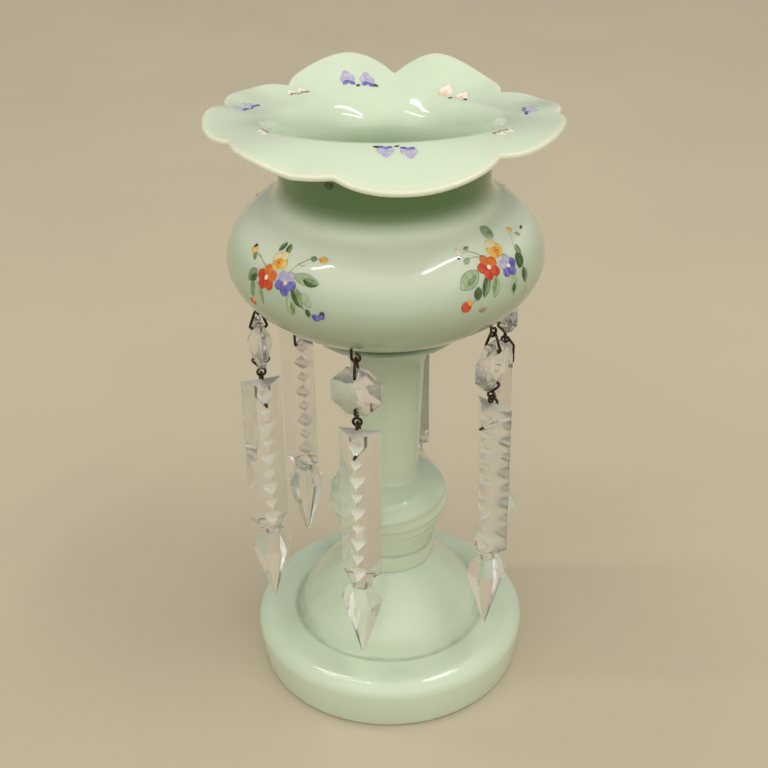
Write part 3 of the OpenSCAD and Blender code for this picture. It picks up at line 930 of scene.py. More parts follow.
@dataclass
class Drop:
    """One of the six drops: hook, clip, button, twisted clip, pin and notched prism."""

    number: int
    first: float = -12.8
    hang_r: float = 52.0
    wire_r: float = 0.55
    loop_r: float = 1.65
    eye_r: float = 1.4
    bend_r: float = 0.95
    crook_r: float = 1.6
    crook_tail: float = 2.4
    shank: float = 4.0
    ring_gap: float = 0.35
    pin_gap: float = 0.4
    pin_bend_r: float = 1.0
    pin_end: float = 0.8
    z_sill: float = 187.0
    z_hang: float = 177.0
    z_hole_1: float = 170.8
    z_button: float = 164.05
    z_hole_2: float = 157.3
    z_link: float = 149.0
    z_bar: float = 145.7
    z_pin: float = 137.7
    z_waist: float = 77.7
    z_spear: float = 65.1
    z_tip: float = 36.3
    back_x: float = -2.8
    ridge_x: float = 5.7
    half_w: float = 8.5
    spear_r: float = 8.6
    button_w: float = 19.5
    button_t: float = 9.5
    girdle: float = 2.4
    table_r: float = 1.8
    bore_r: float = 1.0
    notch_count: int = 9
    notch_margin: float = 4.0
    ridge_cut: float = 0.15
    arris: float = 0.25
    facet_edge: float = 0.14
    spear_neck_r: float = 4.6
    tip_r: float = 0.3
    big_scoop: Pair = (2.9, 3.3)
    small_scoop: Pair = (2.1, 2.4)
    turns: tuple[float, ...] = (0.0, -95.0, 163.0, 0.0, -74.0, 94.0)
    shifts: tuple[float, ...] = (0.0, 4.2, 0.0, 0.0, 0.0, -3.8)

    def frame(self) -> Matrix:
        """Returns the matrix from the drop's frame, x outward and y along the circle, to the part's."""
        azimuth = self.first + 60.0 * (self.number - 1) + self.shifts[self.number - 1]
        turn = Matrix.Rotation(math.radians(azimuth - 90.0), 4, "Z")
        return turn @ Matrix.Translation((self.hang_r * MM, 0.0, 0.0))

    def turned(self) -> Matrix:
        """Returns the matrix of the prism's frame, which has turned on the wires."""
        return self.frame() @ Matrix.Rotation(math.radians(self.turns[self.number - 1]), 4, "Z")

    def _wheel(self, centre: Pair, radius: float, a0: float, a1: float) -> list[Pair]:
        """Samples a bend of wire about a centre, every 15 degrees or closer."""
        return arc(centre[0], centre[1], radius, radius, a0, a1, max(2, math.ceil(abs(a1 - a0) / 15.0)))

    def _tangent(self, p: Triple, q: Triple) -> float:
        """Returns the direction of the outer tangent's normal between two wheels, in degrees."""
        dx, dy = q[0] - p[0], q[1] - p[1]
        return math.degrees(math.atan2(dy, dx) - math.acos((p[2] - q[2]) / math.hypot(dx, dy)))

    def _belt(self, wheels: Sequence[Triple]) -> list[Pair]:
        """Returns the closed run of a wire drawn tight round wheels listed anticlockwise."""
        n = [self._tangent(w, wheels[(i + 1) % len(wheels)]) for i, w in enumerate(wheels)]
        run: list[Pair] = []
        for i, w in enumerate(wheels):
            start, stop = n[i - 1], n[i]
            while stop < start:
                stop += 360.0
            run += self._wheel((w[0], w[1]), w[2], start, stop)
        return run

    def _wire(self, name: str, runs: Sequence[tuple[list[Vector], bool, Matrix]],
              material: Material) -> Object:
        """Sweeps round wire along its runs.

        Args:
            name: Name of the piece.
            runs: Points in millimetres, whether the run is closed, and the matrix of their frame.
            material: Material of the wire.

        Returns:
            The wire as a mesh object at the origin.
        """
        curve = bpy.data.curves.new(name, "CURVE")
        curve.dimensions = "3D"
        curve.bevel_depth = self.wire_r * MM
        curve.bevel_resolution = 3
        curve.use_fill_caps = True
        for points, closed, place in runs:
            spline = curve.splines.new("POLY")
            spline.points.add(len(points) - 1)
            spline.use_cyclic_u = closed
            for knot, p in zip(spline.points, points):
                knot.co = (*(place @ (p * MM)), 1.0)
        source = linked(name + "_run", curve)
        mesh = bpy.data.meshes.new_from_object(source.evaluated_get(bpy.context.evaluated_depsgraph_get()))
        bpy.data.objects.remove(source)
        bm = bmesh.new()
        bm.from_mesh(mesh)
        bmesh.ops.remove_doubles(bm, verts=bm.verts[:], dist=1e-7)
        bmesh.ops.recalc_face_normals(bm, faces=bm.faces[:])
        bm.to_mesh(mesh)
        bm.free()
        mesh.name = name
        mesh.materials.clear()
        mesh.materials.append(material)
        mesh.shade_smooth()
        mesh.set_sharp_from_angle(angle=math.radians(60.0))
        return linked(name, mesh)

    def hook(self, material: Material) -> Object:
        """Builds the hook: crooked over inside the bowl, looped below it."""
        side = -self.loop_r
        crook = self._wheel((-self.crook_r, self.z_sill - 0.5), self.crook_r, 120, 0)
        x, z = crook[0]
        lean = math.radians(210)
        tail = (x + self.crook_tail * math.cos(lean), z + self.crook_tail * math.sin(lean))
        run = [Vector((x, side, z)) for x, z in [tail] + crook]
        run.append(Vector((0.0, side, self.z_hang + self.loop_r + self.shank)))
        loop = self._wheel((0.0, self.z_hang + self.loop_r), self.loop_r, 180, 452)
        run += [Vector((0.0, y, z)) for y, z in loop]
        return self._wire(f"hook_wire_{self.number}", [(run, False, self.frame())], material)

    def upper_clip(self, material: Material) -> Object:
        """Builds the closed clip from the hook's loop to the button's upper hole."""
        half = self.button_t / 4
        z = self.z_hole_1 + self.bend_r
        run = self._belt([(0.0, self.z_hang, self.eye_r), (-half, z, self.bend_r), (half, z, self.bend_r)])
        runs = [([Vector((x, 0.0, y)) for x, y in run], True, self.frame())]
        return self._wire(f"upper_clip_wire_{self.number}", runs, material)

    def lower_clip(self, material: Material) -> Object:
        """Builds the bow through the button's lower hole with the ring below it."""
        half = self.button_t / 4
        foot = self.z_link + 2 * self.loop_r + self.ring_gap + self.bend_r
        z = self.z_hole_2 - self.bend_r
        bow = self._belt([(0.0, foot, self.bend_r), (half, z, self.bend_r), (-half, z, self.bend_r)])
        ring = self._wheel((0.0, self.z_link + self.loop_r), self.loop_r, 0, 345)
        runs = [([Vector((x, 0.0, y)) for x, y in bow], True, self.frame()),
                ([Vector((0.0, y, z)) for y, z in ring], True, self.turned())]
        return self._wire(f"lower_clip_wire_{self.number}", runs, material)

    def pin(self, material: Material) -> Object:
        """Builds the bent wire that carries the prism."""
        bend = self.pin_bend_r
        middle = self.back_x - self.pin_gap - self.wire_r + bend
        top = (middle, self.z_bar + 0.1, bend)
        n = self._tangent((0.0, self.z_link, self.eye_r), top) % 360.0
        run = self._wheel((0.0, self.z_link), self.eye_r, 205, n + 360.0)
        run += self._wheel((top[0], top[1]), bend, n, 180)
        run += self._wheel((middle, self.z_pin + bend), bend, 180, 270)
        run.append((self.ridge_x + self.pin_end, self.z_pin))
        runs = [([Vector((x, 0.0, y)) for x, y in run], False, self.turned())]
        return self._wire(f"pin_wire_{self.number}", runs, material)

    def _cut_bores(self, obj: Object, heights: Sequence[float], place: Matrix) -> None:
        """Drills round holes along the x axis of a frame at the given heights."""
        bm = bmesh.new()
        for z in heights:
            hole = bmesh.ops.create_cone(bm, cap_ends=True, segments=20, radius1=self.bore_r * MM,
                                         radius2=self.bore_r * MM, depth=0.04)["verts"]
            lie = Matrix.Translation((0.0, 0.0, z * MM)) @ Matrix.Rotation(math.pi / 2, 4, "Y")
            bmesh.ops.transform(bm, verts=hole, matrix=place @ lie)
        bored(obj, piece(bm, "crystal_bores", [], None))

    def button(self, material: Material) -> Object:
        """Builds the eight-sided button with a cut pyramid on both faces."""
        corner = self.button_w / 2 / math.cos(math.pi / 8)
        inner = self.table_r / math.cos(math.pi / 8)
        face, edge = self.button_t / 2, self.girdle / 2
        stations = ((-face, inner), (-edge, corner), (edge, corner), (face, inner))
        bm = bmesh.new()
        rings = []
        for x, r in stations:
            angles = (math.pi / 8 + i * math.pi / 4 for i in range(8))
            rings.append([Vector((x, r * math.sin(a), self.z_button + r * math.cos(a))) * MM for a in angles])
        lofted(bm, rings)
        bmesh.ops.recalc_face_normals(bm, faces=bm.faces[:])
        bmesh.ops.bevel(bm, geom=bm.edges[:], offset=self.facet_edge * MM, offset_type="OFFSET",
                        affect="EDGES", segments=1, profile=0.5, material=-1)
        bmesh.ops.transform(bm, verts=bm.verts[:], matrix=self.frame())
        obj = piece(bm, f"button_crystal_{self.number}", [material], None)
        self._cut_bores(obj, (self.z_hole_1, self.z_hole_2), self.frame())
        return obj

    def _section(self, z: float, cut: float) -> list[Vector]:
        """Returns the bar's three-sided outline at height z with its ridge cut back by cut."""
        lean = self.half_w / (self.ridge_x - self.back_x)
        side = Vector((1.0, -lean, 0.0)).normalized() * self.arris
        step = Vector((0.0, self.arris, 0.0))
        ring = [Vector((self.ridge_x - cut, -cut * lean, z)), Vector((self.ridge_x - cut, cut * lean, z))]
        corner = Vector((self.back_x, self.half_w, z))
        ring += [corner + side, corner - step]
        corner.y = -corner.y
        side.y = -side.y
        return ring + [corner + step, corner + side]

    def _hexagon(self, z: float, r: float) -> list[Vector]:
        """Returns a six-sided outline that lines up with the bar's cut corners."""
        ring = []
        for a in (0.0, 120.0, 240.0):
            for d in (-30.0, 30.0):
                t = math.radians(a + d)
                ring.append(Vector((r * math.cos(t), r * math.sin(t), z)))
        return ring

    def prism(self, material: Material, ground: Material) -> Object:
        """Builds the notched bar that ends in a cut spear, its scoops and its top in the pale material with a
        painted glint.
        """
        ridge = self.ridge_cut
        pitch = (self.z_bar - self.z_waist - 2 * self.notch_margin) / (self.notch_count - 1)
        levels = {self.z_bar: ridge, self.z_waist: ridge}
        for i in range(self.notch_count):
            depth, half = self.small_scoop if i % 2 else self.big_scoop
            for j in range(-8, 9):
                t = j / 8.0
                z = self.z_waist + self.notch_margin + i * pitch + t * half
                levels[z] = ridge + depth * (1.0 - t * t)
        rings = [self._section(z, cut) for z, cut in sorted(levels.items(), reverse=True)]
        spear = ((self.z_waist - 1.5, 5.2), (self.z_waist - 5.0, self.spear_neck_r),
                 (self.z_spear + 1.2, 8.2), (self.z_spear, self.spear_r),
                 (self.z_spear - 1.9, self.spear_r - 0.3),
                 (self.z_tip + 0.8, 0.7), (self.z_tip, self.tip_r))
        rings += [self._hexagon(z, r) for z, r in spear]
        bm = bmesh.new()
        lofted(bm, [[p * MM for p in ring] for ring in rings])
        bmesh.ops.recalc_face_normals(bm, faces=bm.faces[:])
        for f in bm.faces:
            middle = f.calc_center_median() / MM
            square = abs(middle.y) < 0.01 and abs(f.normal.y) < 0.01
            # The scoops and the top face take the pale material, a painted glint.
            scoop = middle.z > self.z_waist and square and f.normal.x > 0.0
            f.material_index = 1 if scoop or f.normal.z > 0.99 else 0
        bmesh.ops.transform(bm, verts=bm.verts[:], matrix=self.turned())
        obj = piece(bm, f"prism_crystal_{self.number}", [material, ground], 20.0)
        self._cut_bores(obj, (self.z_pin,), self.turned())
        return obj

    def build(self, crystal: Material, ground: Material, wire: Material) -> None:
        """Builds the drop's six pieces and hangs each on its body.

        Args:
            crystal: Material of the button and the prism.
            ground: Pale material of the prism's scoops and top, a painted glint.
            wire: Material of the hook, clips and pin.
        """
        k = self.number
        for obj, body, node, slot in (
            (self.hook(wire), "vase", f"hook_{k}", "wire"),
            (self.upper_clip(wire), f"clip_{k}", f"upper_clip_{k}", "wire"),
            (self.button(crystal), f"drop_{k}", f"button_{k}", "crystal"),
            (self.lower_clip(wire), f"drop_{k}", f"lower_clip_{k}", "wire"),
            (self.pin(wire), f"pin_{k}", f"prism_pin_{k}", "wire"),
            (self.prism(crystal, ground), f"spear_{k}", f"prism_{k}", "crystal"),
        ):
            fit(obj, body, node, slot)


def fit(obj: Object, body: str, node: str | None, slot: str | None) -> None:
    """Hangs a piece on its body and logs it.

    Args:
        obj: Finished piece.
        body: Body it rides on.
        node: CAD node it stands for, if any.
        slot: Material slot of the record, if any; not used.
    """
    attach(obj, body)
    if node:
        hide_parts(node)
    LOG.info("%s rides on %s, %d faces", obj.name, body, len(obj.data.polygons))


# Painted flowers


class Brush:
    """Lays raised strokes of enamel on a wall, in millimetres across (u) and up (v) from a centre."""

    STEM_RELIEF = 0.13
    PETAL_RELIEF = 0.26
    EYE_RELIEF = 0.42

    def __init__(self, place: Callable[[float, float, float], Vector]) -> None:
        """Starts an empty painting.

        Args:
            place: Maps u, v and the height above the glass to a point in metres.
        """
        self.place = place
        self.bm = bmesh.new()
        self.paints: list[Paint] = []

    def _index(self, paint: Paint) -> int:
        """Returns the material slot of a colour."""
        if paint not in self.paints:
            self.paints.append(paint)
        return self.paints.index(paint)

    def dab(self, u: float, v: float, length: float, width: float, angle: float, paint: Paint,
            relief: float = 0.22, point: float = 0.0, second: Paint | None = None) -> None:
        """Paints one lens-shaped dab.

        Args:
            u: Place across.
            v: Place up.
            length: Length of the dab.
            width: Width of the dab.
            angle: Direction of its length, in degrees from across.
            paint: Colour.
            relief: Height above the glass.
            point: 0 for a round dab, up to 1 for a leaf with sharp ends.
            second: Colour of the half on the left of its direction, if it has two.
        """
        verts = bmesh.ops.create_uvsphere(self.bm, u_segments=18, v_segments=6, radius=1.0)["verts"]
        first = self._index(paint)
        other = self._index(second) if second else first
        for f in {f for w in verts for f in w.link_faces}:
            f.smooth = True
            f.material_index = other if f.calc_center_median().y > 0 else first
        c, s = math.cos(math.radians(angle)), math.sin(math.radians(angle))
        for w in verts:
            slim = max(0.0, 1.0 - w.co.x * w.co.x) ** (0.55 * point)
            x, y = w.co.x * length / 2, w.co.y * slim * width / 2
            w.co = self.place(u + c * x - s * y, v + s * x + c * y, w.co.z * relief)

    def stroke(self, points: Sequence[Pair], width: float, paint: Paint) -> None:
        """Paints a thin stem through points, finer at both ends."""
        index = self._index(paint)
        rings = []
        for i, (u, v) in enumerate(points):
            p, q = points[max(0, i - 1)], points[min(len(points) - 1, i + 1)]
            span = math.dist(p, q)
            du, dv = (q[0] - p[0]) / span, (q[1] - p[1]) / span
            w = width / 2 * (0.45 if i in (0, len(points) - 1) else 1.0)
            ring = []
            for a in (j * math.pi / 3 for j in range(6)):
                side, lift = w * math.cos(a), self.STEM_RELIEF * math.sin(a)
                ring.append(self.place(u - dv * side, v + du * side, lift))
            rings.append(ring)
        verts = lofted(self.bm, rings)
        for f in {f for w in verts for f in w.link_faces}:
            f.material_index = index
            f.smooth = True

    def flower(self, u: float, v: float, radius: float, paint: Paint, crown: Paint, eye: Paint,
               turn: float = 90.0, petals: int = 5) -> None:
        """Paints an open flower with round petals, the upper ones in the crown's colour, and a raised eye."""
        for i in range(petals):
            a = turn + 360.0 / petals * i
            across, up = math.cos(math.radians(a)), math.sin(math.radians(a))
            colour = crown if up > 0.2 else paint
            self.dab(u + 0.56 * radius * across, v + 0.56 * radius * up, radius * 0.98,
                     radius * 4.3 / petals, a, colour, self.PETAL_RELIEF)
        self.dab(u, v, radius * 0.42, radius * 0.42, 0.0, eye, self.EYE_RELIEF)

    def done(self, name: str, dyes: dict[Paint, Material]) -> Object:
        """Returns the finished painting as an object."""
        bmesh.ops.recalc_face_normals(self.bm, faces=self.bm.faces[:])
        return piece(self.bm, name, [dyes[p] for p in self.paints], 180.0)


Row = tuple[Any, ...]


@dataclass(frozen=True)
class SprayPattern:
    """The strokes of one spray, each row with what the Brush's method for it takes.

    Attributes:
        stems: Rows of points, width and colour.
        leaves: Rows of place across and up, length, width, angle, colour, relief, point and second colour.
        blooms: Rows of place across and up, radius, petal, crown and eye colours, turn and petals.
        hearts: Rows like those of the leaves, laid in the yellow flower, which is the first bloom.
        buds: Rows like those of the leaves, laid last.
    """

    stems: tuple[Row, ...]
    leaves: tuple[Row, ...]
    blooms: tuple[Row, ...]
    hearts: tuple[Row, ...]
    buds: tuple[Row, ...]

    def paint(self, brush: Brush) -> None:
        """Paints the stems and leaves, the yellow flower and its heart, the other flowers and the buds."""
        for row in self.stems:
            brush.stroke(*row)
        for row in self.leaves:
            brush.dab(*row)
        brush.flower(*self.blooms[0])
        for row in self.hearts:
            brush.dab(*row)
        for row in self.blooms[1:]:
            brush.flower(*row)
        for row in self.buds:
            brush.dab(*row)


class SprayKind(Enum):
    """The two hands of the flower spray: long bud stem on its right, or pale buds on its left."""

    LEFT = SprayPattern(
        stems=(
            (((-17.8, 5.0), (-13.0, 4.6), (-8.0, 2.6), (-4.0, -1.0)), 0.45, Paint.STEM),
            (((4.0, 3.2), (7.0, 7.6), (11.0, 10.6), (15.0, 11.4)), 0.45, Paint.STEM),
            (((7.0, 7.6), (9.0, 7.2), (10.4, 8.0)), 0.35, Paint.STEM),
            (((8.0, -4.0), (13.0, -7.4), (17.0, -9.4)), 0.45, Paint.LEAF),
            (((-8.6, -4.0), (-10.4, -8.0), (-11.0, -12.0)), 0.5, Paint.LEAF),
        ),
        leaves=(
            (-4.9, 11.8, 4.6, 2.9, 70, Paint.DARK_LEAF, 0.18, 0.6, Paint.LEAF),
            (-1.2, 11.6, 5.0, 2.9, 105, Paint.LEAF, 0.18, 0.6, Paint.DARK_LEAF),
            (12.6, 2.7, 11.6, 4.6, -6, Paint.PALE_LEAF, 0.16, 0.5),
            (14.2, 2.2, 7.6, 3.6, -8, Paint.DARK_LEAF, 0.22, 0.6, Paint.LEAF),
            (10.6, -4.2, 8.4, 4.4, -52, Paint.DARK_LEAF, 0.22, 0.6, Paint.LEAF),
            (8.4, -7.6, 8.0, 4.0, -78, Paint.PALE_LEAF, 0.16, 0.5),
            (9.2, -8.2, 5.4, 2.4, -74, Paint.LEAF, 0.2, 0.6),
            (14.4, -4.4, 6.4, 3.0, -46, Paint.PALE_LEAF, 0.16, 0.5),
            (15.6, -9.0, 3.2, 2.0, -70, Paint.DARK_LEAF, 0.2, 0.5),
            (-12.6, -2.8, 6.0, 5.2, 60, Paint.LEAF, 0.16, 0.4),
            (-11.6, -3.4, 4.6, 3.2, 40, Paint.DARK_LEAF, 0.22, 0.5),
            (-10.8, -7.4, 7.0, 3.0, -84, Paint.LEAF, 0.18, 0.6),
            (-6.2, -7.6, 8.4, 2.8, -62, Paint.PALE_LEAF, 0.16, 0.6, Paint.LEAF),
        ),
        blooms=(
            (-2.0, 6.6, 4.1, Paint.YELLOW, Paint.CREAM, Paint.ORANGE, 70, 4),
            (-4.9, -1.2, 4.9, Paint.RED, Paint.VERMILION, Paint.WHITE, 100),
            (4.5, -0.4, 4.7, Paint.BLUE, Paint.LILAC, Paint.PINK, 64),
        ),
        hearts=(
            (-2.4, 5.4, 5.6, 4.6, 20, Paint.ORANGE, 0.34, 0.2),
            (-2.0, 5.6, 1.3, 2.0, 70, Paint.RED, 0.42, 0.2),
        ),
        buds=(
            (-18.6, 5.4, 3.4, 4.6, 80, Paint.YELLOW, 0.26, 0.2),
            (-19.2, 6.6, 2.1, 2.1, 0, Paint.DARK, 0.36),
            (-16.2, 3.6, 4.2, 2.0, -40, Paint.LEAF, 0.18, 0.6),
            (17.0, 11.4, 2.8, 4.2, 80, Paint.YELLOW, 0.28, 0.2),
            (16.4, 11.0, 1.6, 2.6, 80, Paint.ORANGE, 0.34, 0.2),
            (12.6, 11.0, 2.4, 3.0, 80, Paint.LEAF, 0.2, 0.3),
            (-11.0, -13.0, 2.2, 3.6, 70, Paint.RED, 0.26, 0.2),
            (-9.8, -12.0, 1.6, 2.4, 110, Paint.ORANGE, 0.26, 0.2),
            (18.6, -10.2, 2.6, 3.2, 60, Paint.BLUE, 0.26, 0.1),
            (20.6, -9.4, 2.4, 2.8, 100, Paint.BLUE, 0.26, 0.1),
            (21.0, -8.2, 2.0, 1.8, 0, Paint.DARK, 0.3, 0.1),
        ),
    )
    RIGHT = SprayPattern(
        stems=(
            (((-12.6, 8.6), (-9.4, 8.4), (-6.0, 6.2), (-3.4, 3.0)), 0.4, Paint.STEM),
            (((-11.6, 5.6), (-8.4, 5.6), (-5.2, 4.6)), 0.4, Paint.STEM),
            (((-4.4, -3.6), (-8.4, -7.4), (-13.6, -9.6), (-16.4, -10.6)), 0.5, Paint.LEAF),
            (((2.4, 3.4), (5.4, 1.8), (7.0, 0.2)), 0.5, Paint.DARK),
            (((9.6, -3.0), (13.0, 2.0), (17.2, 7.0)), 0.4, Paint.PALE_LEAF),
        ),
        leaves=(
            (5.8, 12.4, 7.0, 6.2, 30, Paint.PALE_LEAF, 0.15, 0.3),
            (6.4, 11.6, 4.6, 3.4, 10, Paint.LEAF, 0.2, 0.4),
            (-14.2, -2.0, 10.4, 6.4, 28, Paint.PALE_LEAF, 0.15, 0.5),
            (-13.6, -2.4, 7.0, 3.0, 32, Paint.LEAF, 0.19, 0.6),
            (-8.2, -5.8, 9.0, 3.4, 62, Paint.LEAF, 0.2, 0.6, Paint.DARK_LEAF),
            (-12.4, -7.6, 5.0, 3.4, 70, Paint.DARK_LEAF, 0.22, 0.5),
            (-4.2, -7.4, 8.0, 3.6, 66, Paint.PALE_LEAF, 0.15, 0.6, Paint.LEAF),
            (11.8, -2.8, 7.0, 4.8, 50, Paint.DARK_LEAF, 0.22, 0.4),
            (14.0, 0.2, 5.0, 3.4, 60, Paint.LEAF, 0.18, 0.5),
            (11.6, -8.8, 6.0, 3.8, 80, Paint.LEAF, 0.19, 0.5, Paint.DARK_LEAF),
            (4.4, -9.4, 8.6, 3.4, 72, Paint.PALE_LEAF, 0.15, 0.6),
            (4.0, -10.6, 4.6, 2.4, 76, Paint.DARK_LEAF, 0.2, 0.5),
            (10.6, -14.2, 5.0, 2.2, 70, Paint.PALE_LEAF, 0.15, 0.5),
        ),
        blooms=(
            (2.6, 5.6, 3.9, Paint.YELLOW, Paint.CREAM, Paint.ORANGE, 90, 3),
            (-4.4, 0.2, 4.9, Paint.RED, Paint.VERMILION, Paint.WHITE, 100),
            (4.6, -2.4, 4.4, Paint.BLUE, Paint.LILAC, Paint.WHITE, 80),
        ),
        hearts=(
            (2.7, 4.2, 5.0, 4.2, 20, Paint.ORANGE, 0.34, 0.2),
            (2.8, 4.6, 1.2, 1.6, 80, Paint.VERMILION, 0.42, 0.2),
        ),
        buds=(
            (-14.0, 9.2, 2.8, 3.4, 40, Paint.WHITE, 0.22, 0.2),
            (-12.4, 5.0, 3.6, 2.2, 30, Paint.PALE_LEAF, 0.2, 0.3),
            (-15.2, 6.8, 1.2, 1.0, 0, Paint.DARK, 0.24),
            (-9.8, 9.8, 1.6, 3.0, 100, Paint.LEAF, 0.18, 0.4),
            (-17.6, -11.2, 4.2, 4.0, 30, Paint.RED, 0.28, 0.1),
            (-16.4, -10.2, 2.2, 2.2, 0, Paint.ORANGE, 0.34, 0.1),
            (-11.2, -14.2, 2.0, 3.2, 80, Paint.STEM, 0.2, 0.3),
            (18.4, 8.0, 2.4, 4.0, 80, Paint.YELLOW, 0.24, 0.2),
            (21.0, 4.6, 2.0, 3.4, 60, Paint.PALE_LEAF, 0.2, 0.4),
            (27.0, 5.0, 1.2, 3.6, 90, Paint.DARK_LEAF, 0.18, 0.4),
        ),
    )


@dataclass
class Spray:
    """A flower spray painted on the side of the bowl."""

    number: int
    azimuth: float
    up: float
    kind: SprayKind

    def build(self, bowl: Bowl, dyes: dict[Paint, Material]) -> Object:
        """Paints the spray.

        Args:
            bowl: The bowl it is painted on.
            dyes: Enamel materials.

        Returns:
            The spray's object.
        """
        wall = Wall(bowl.outside(), bowl.z_belly)
        r = wall.at(self.up)[0]
        centre = math.radians(self.azimuth)
        brush = Brush(lambda u, v, h: wall.place(centre + u / r, self.up + v, h))
        self.kind.value.paint(brush)
        return brush.done(f"flower_spray_{self.number}", dyes)


@dataclass
class RimFlower:
    """A pair of small flowers painted on the upper face of the rim."""

    number: int
    azimuth: float
    out: float
    heart: Paint
    petal: Paint
    size: float
    apart: float = 3.4
    stagger: float = 0.4

    def build(self, bowl: Bowl, dyes: dict[Paint, Material]) -> Object:
        """Paints the pair.

        Args:
            bowl: The bowl whose rim it is painted on.
            dyes: Enamel materials.

        Returns:
            The pair's object.
        """
        r0, k = self.out, self.size

        def place(u: float, v: float, h: float) -> Vector:
            """Maps a stroke onto the waving rim, v running outward."""
            theta = self.azimuth + math.degrees(u / r0)
            return polar(math.radians(theta), r0 + v, bowl.top(r0 + v, theta) + h)

        b = Brush(place)
        for side in (-1, 1):
            u0, v0 = self.apart * side * k, self.stagger * side * k
            for u, v, turn in ((-1.3, 1.0, 70), (1.4, 1.2, 115), (0.2, 2.6, 85)):
                b.dab(u0 + u * k, v0 + v * k, 3.2 * k, 2.3 * k, turn, self.petal, 0.14, 0.2)
            for u, v, turn in ((-1.1, -0.7, 25), (0.9, -0.4, -20)):
                b.dab(u0 + u * k, v0 + v * k, 2.9 * k, 1.5 * k, turn, self.heart, 0.2, 0.3)
        b.dab(-6.0 * k, -1.3 * k, 2.6 * k, 1.2 * k, 12, Paint.DARK, 0.16, 0.3)
        b.dab(0.2 * k, -1.5 * k, 1.8 * k, 0.9 * k, -15, Paint.DARK, 0.16, 0.3)
        return b.done(f"rim_flower_{self.number}", dyes)


@dataclass
class NeckTrim:
    """The gilt line and the dark dabs painted round the neck."""

    line_up: float = 0.274
    dabs_up: float = 0.335
    gilt_runs: tuple[tuple[int, int], ...] = ((-3, 39), (96, 168), (204, 258))
    first: float = -29.0
    dabs: int = 17
    line_section: tuple[Pair, ...] = ((-0.35, -0.1), (-0.35, 0.05), (-0.2, 0.11),
                                      (0.2, 0.11), (0.35, 0.05), (0.35, -0.1))

    def _wall(self, bowl: Bowl, theta: float, up: float) -> Wall:
        """Returns the neck's wall at azimuth theta, measured from a share up of the way to its crest."""
        rise = bowl.crest(theta)[0] - bowl.z_neck
        return Wall(bowl.outside() + bowl.flare(theta), bowl.z_neck + up * rise)

    def build(self, bowl: Bowl, gilt: Material,
              dyes: dict[Paint, Material]) -> list[Object]:
        """Builds the line and the dabs.

        Args:
            bowl: The bowl that carries them.
            gilt: Material of the line.
            dyes: Enamel materials.

        Returns:
            The two objects.
        """
        bm = bmesh.new()
        for start, stop in self.gilt_runs:
            rings = []
            for a in range(start, stop + 1, 3):
                wall = self._wall(bowl, a, self.line_up)
                rings.append([wall.place(math.radians(a), u, h) for u, h in self.line_section])
            lofted(bm, rings)
        bmesh.ops.recalc_face_normals(bm, faces=bm.faces[:])
        line = piece(bm, "neck_gilt_line", [gilt], 50.0)
        step = 360.0 / self.dabs
        rows = [self._wall(bowl, self.first + step * i, self.dabs_up) for i in range(self.dabs)]

        def place(u: float, v: float, h: float) -> Vector:
            """Maps a stroke onto the wall of the dab that it belongs to."""
            theta = u / bowl.neck_r
            return rows[round((math.degrees(theta) - self.first) / step) % self.dabs].place(theta, v, h)

        b = Brush(place)
        for i in range(self.dabs):
            u = math.radians(self.first + step * i) * bowl.neck_r
            b.dab(u, 0.0, 4.0, 3.0, 8, Paint.DARK_LEAF, 0.2, 0.3)
            b.dab(u + 1.0, 0.6, 2.0, 1.6, 0, Paint.DARK, 0.24, 0.2)
        return [line, b.done("neck_dabs", dyes)]


# Studio


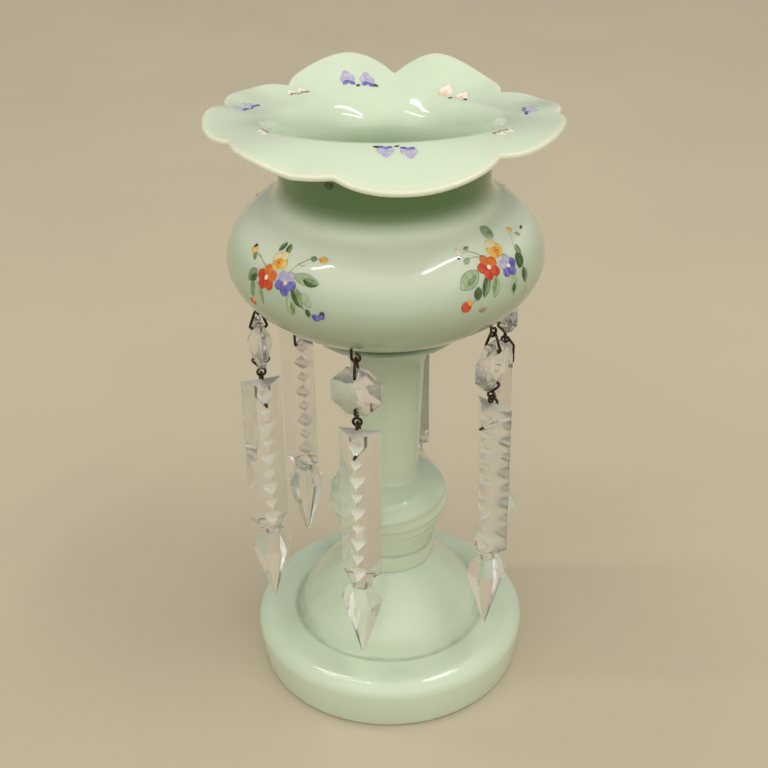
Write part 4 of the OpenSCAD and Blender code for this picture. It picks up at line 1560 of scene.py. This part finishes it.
@dataclass
class Studio:
    """Floor, lamps, surrounding light and camera."""

    floor_r: float = 4.0
    sensor: float = 36.0
    lens: float = 66.15
    stand: float = 0.50296
    height: float = 0.4372
    pitch: float = 30.838
    roll: float = -0.7
    shift: float = -0.0042
    aim: Triple = (0.0, 0.0, 0.18)
    front: Triple = (0.0, -0.80, 0.60)
    dim: Colour = (0.27, 0.26, 0.24)
    bright: Colour = (1.19, 1.15, 1.07)
    warm: Colour = (1.0, 0.96, 0.88)
    clear: Colour = (1.0, 0.98, 0.92)

    def floor(self) -> None:
        """Lays the pale floor."""
        bm = bmesh.new()
        bmesh.ops.create_circle(bm, cap_ends=True, segments=96, radius=self.floor_r)
        piece(bm, "pale_floor", [Backdrop().material()], None)

    def lamp(self, name: str, at: Triple, along: Triple, length: float, width: float, watts: float,
             colour: Colour) -> None:
        """Hangs a strip lamp that faces the bowl.

        Args:
            name: Name of the lamp.
            at: Its middle, in metres.
            along: Direction of its length.
            length: Its length in metres.
            width: Its width in metres.
            watts: Its power.
            colour: Its colour.
        """
        light = bpy.data.lights.new(name, "AREA")
        light.shape = "RECTANGLE"
        light.size, light.size_y = length, width
        light.energy, light.color = watts, colour
        obj = linked(name, light)
        z = (Vector(at) - Vector(self.aim)).normalized()
        run = Vector(along)
        x = (run - run.dot(z) * z).normalized()
        y = z.cross(x)
        obj.matrix_world = Matrix.Translation(at) @ Matrix((x, y, z)).transposed().to_4x4()

    def world(self) -> None:
        """Sets a soft surround that is bright high in front and dim elsewhere."""
        world = bpy.data.worlds.new("studio")
        bpy.context.scene.world = world
        g = Graph(world, "Background", "Generated")
        facing = g.node("ShaderNodeVectorMath", {"operation": "DOT_PRODUCT"}, {0: g.coords, 1: self.front})
        glow = Value(g, facing.outputs["Value"]).ramp(0.2, 1.0)
        g.set(Color=g.blend(glow, self.dim, self.bright), Strength=1.0)

    def camera(self) -> None:
        """Sets the camera at the photograph's viewing angle."""
        data = bpy.data.cameras.new("front_camera")
        data.sensor_width = self.sensor
        data.lens = self.lens
        data.shift_x = self.shift
        data.clip_start = 0.01
        obj = linked("front_camera", data)
        look = Matrix.Rotation(math.radians(90.0 - self.pitch), 4, "X")
        look = look @ Matrix.Rotation(math.radians(self.roll), 4, "Z")
        obj.matrix_world = Matrix.Translation((0.0, -self.stand, self.height)) @ look
        bpy.context.scene.camera = obj

    def build(self) -> None:
        """Sets up the whole studio."""
        bpy.context.scene.view_settings.view_transform = "Standard"
        self.floor()
        self.world()
        for row in (
            ("left_tube", (-0.50, 0.12, 1.42), (1.0, 0.0, 0.0), 0.55, 0.05, 2.1, self.warm),
            ("right_tube", (0.51, 0.05, 1.42), (0.33, 0.94, 0.0), 0.88, 0.05, 3.2, self.warm),
            ("front_left_tube", (-0.56, -0.26, 1.42), (1.0, 0.0, 0.0), 0.70, 0.03, 1.8, self.clear),
            ("front_right_tube", (0.65, -0.26, 1.42), (0.58, 0.82, 0.0), 0.66, 0.03, 1.8, self.clear),
        ):
            self.lamp(*row)
        self.camera()


SPRAYS = ((-42.0, 10.7, SprayKind.LEFT), (45.3, 14.3, SprayKind.RIGHT),
          (137.0, 11.5, SprayKind.LEFT), (-138.0, 13.0, SprayKind.RIGHT))
RIM_FLOWERS = ((4.7, 51.0, Paint.BLUE, Paint.LILAC, 1.15), (57.3, 50.1, Paint.STEM, Paint.WHITE, 0.75),
               (98.1, 54.6, Paint.BLUE, Paint.LILAC, 1.0), (146.1, 49.8, Paint.PINK, Paint.WHITE, 1.15),
               (-168.9, 54.0, Paint.BLUE, Paint.LILAC, 1.15), (-140.7, 54.4, Paint.STEM, Paint.WHITE, 0.7),
               (-107.9, 54.7, Paint.BLUE, Paint.LILAC, 1.0), (-61.9, 48.6, Paint.STEM, Paint.WHITE, 0.6))


def main() -> None:
    logging.basicConfig(level=logging.INFO, format="%(message)s")
    studio = Studio()
    studio.build()
    opaline = Opaline("mint_opaline").material()
    crystal, ground = Crystal().material(), ScoopGlintCrystal().material()
    wire, gilt = OldWire().material(), Gilding().material()
    dyes = {paint: paint.value.material() for paint in Paint}
    bowl, pedestal = Bowl(), Pedestal()
    fit(bowl.build(opaline), "vase", "bowl", "opaline")
    fit(pedestal.build(opaline), "vase", "pedestal", "opaline")
    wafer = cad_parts["joint_wafer"]
    wafer.data.materials.clear()
    wafer.data.materials.append(opaline)
    for k in range(1, 7):
        Drop(k).build(crystal, ground, wire)
    for i, spray in enumerate(SPRAYS, 1):
        fit(Spray(i, *spray).build(bowl, dyes), "vase", None, None)
    for i, pair in enumerate(RIM_FLOWERS, 1):
        fit(RimFlower(i, *pair).build(bowl, dyes), "vase", None, None)
    for obj in NeckTrim().build(bowl, gilt, dyes):
        fit(obj, "vase", None, None)


if __name__ == "__main__":
    main()
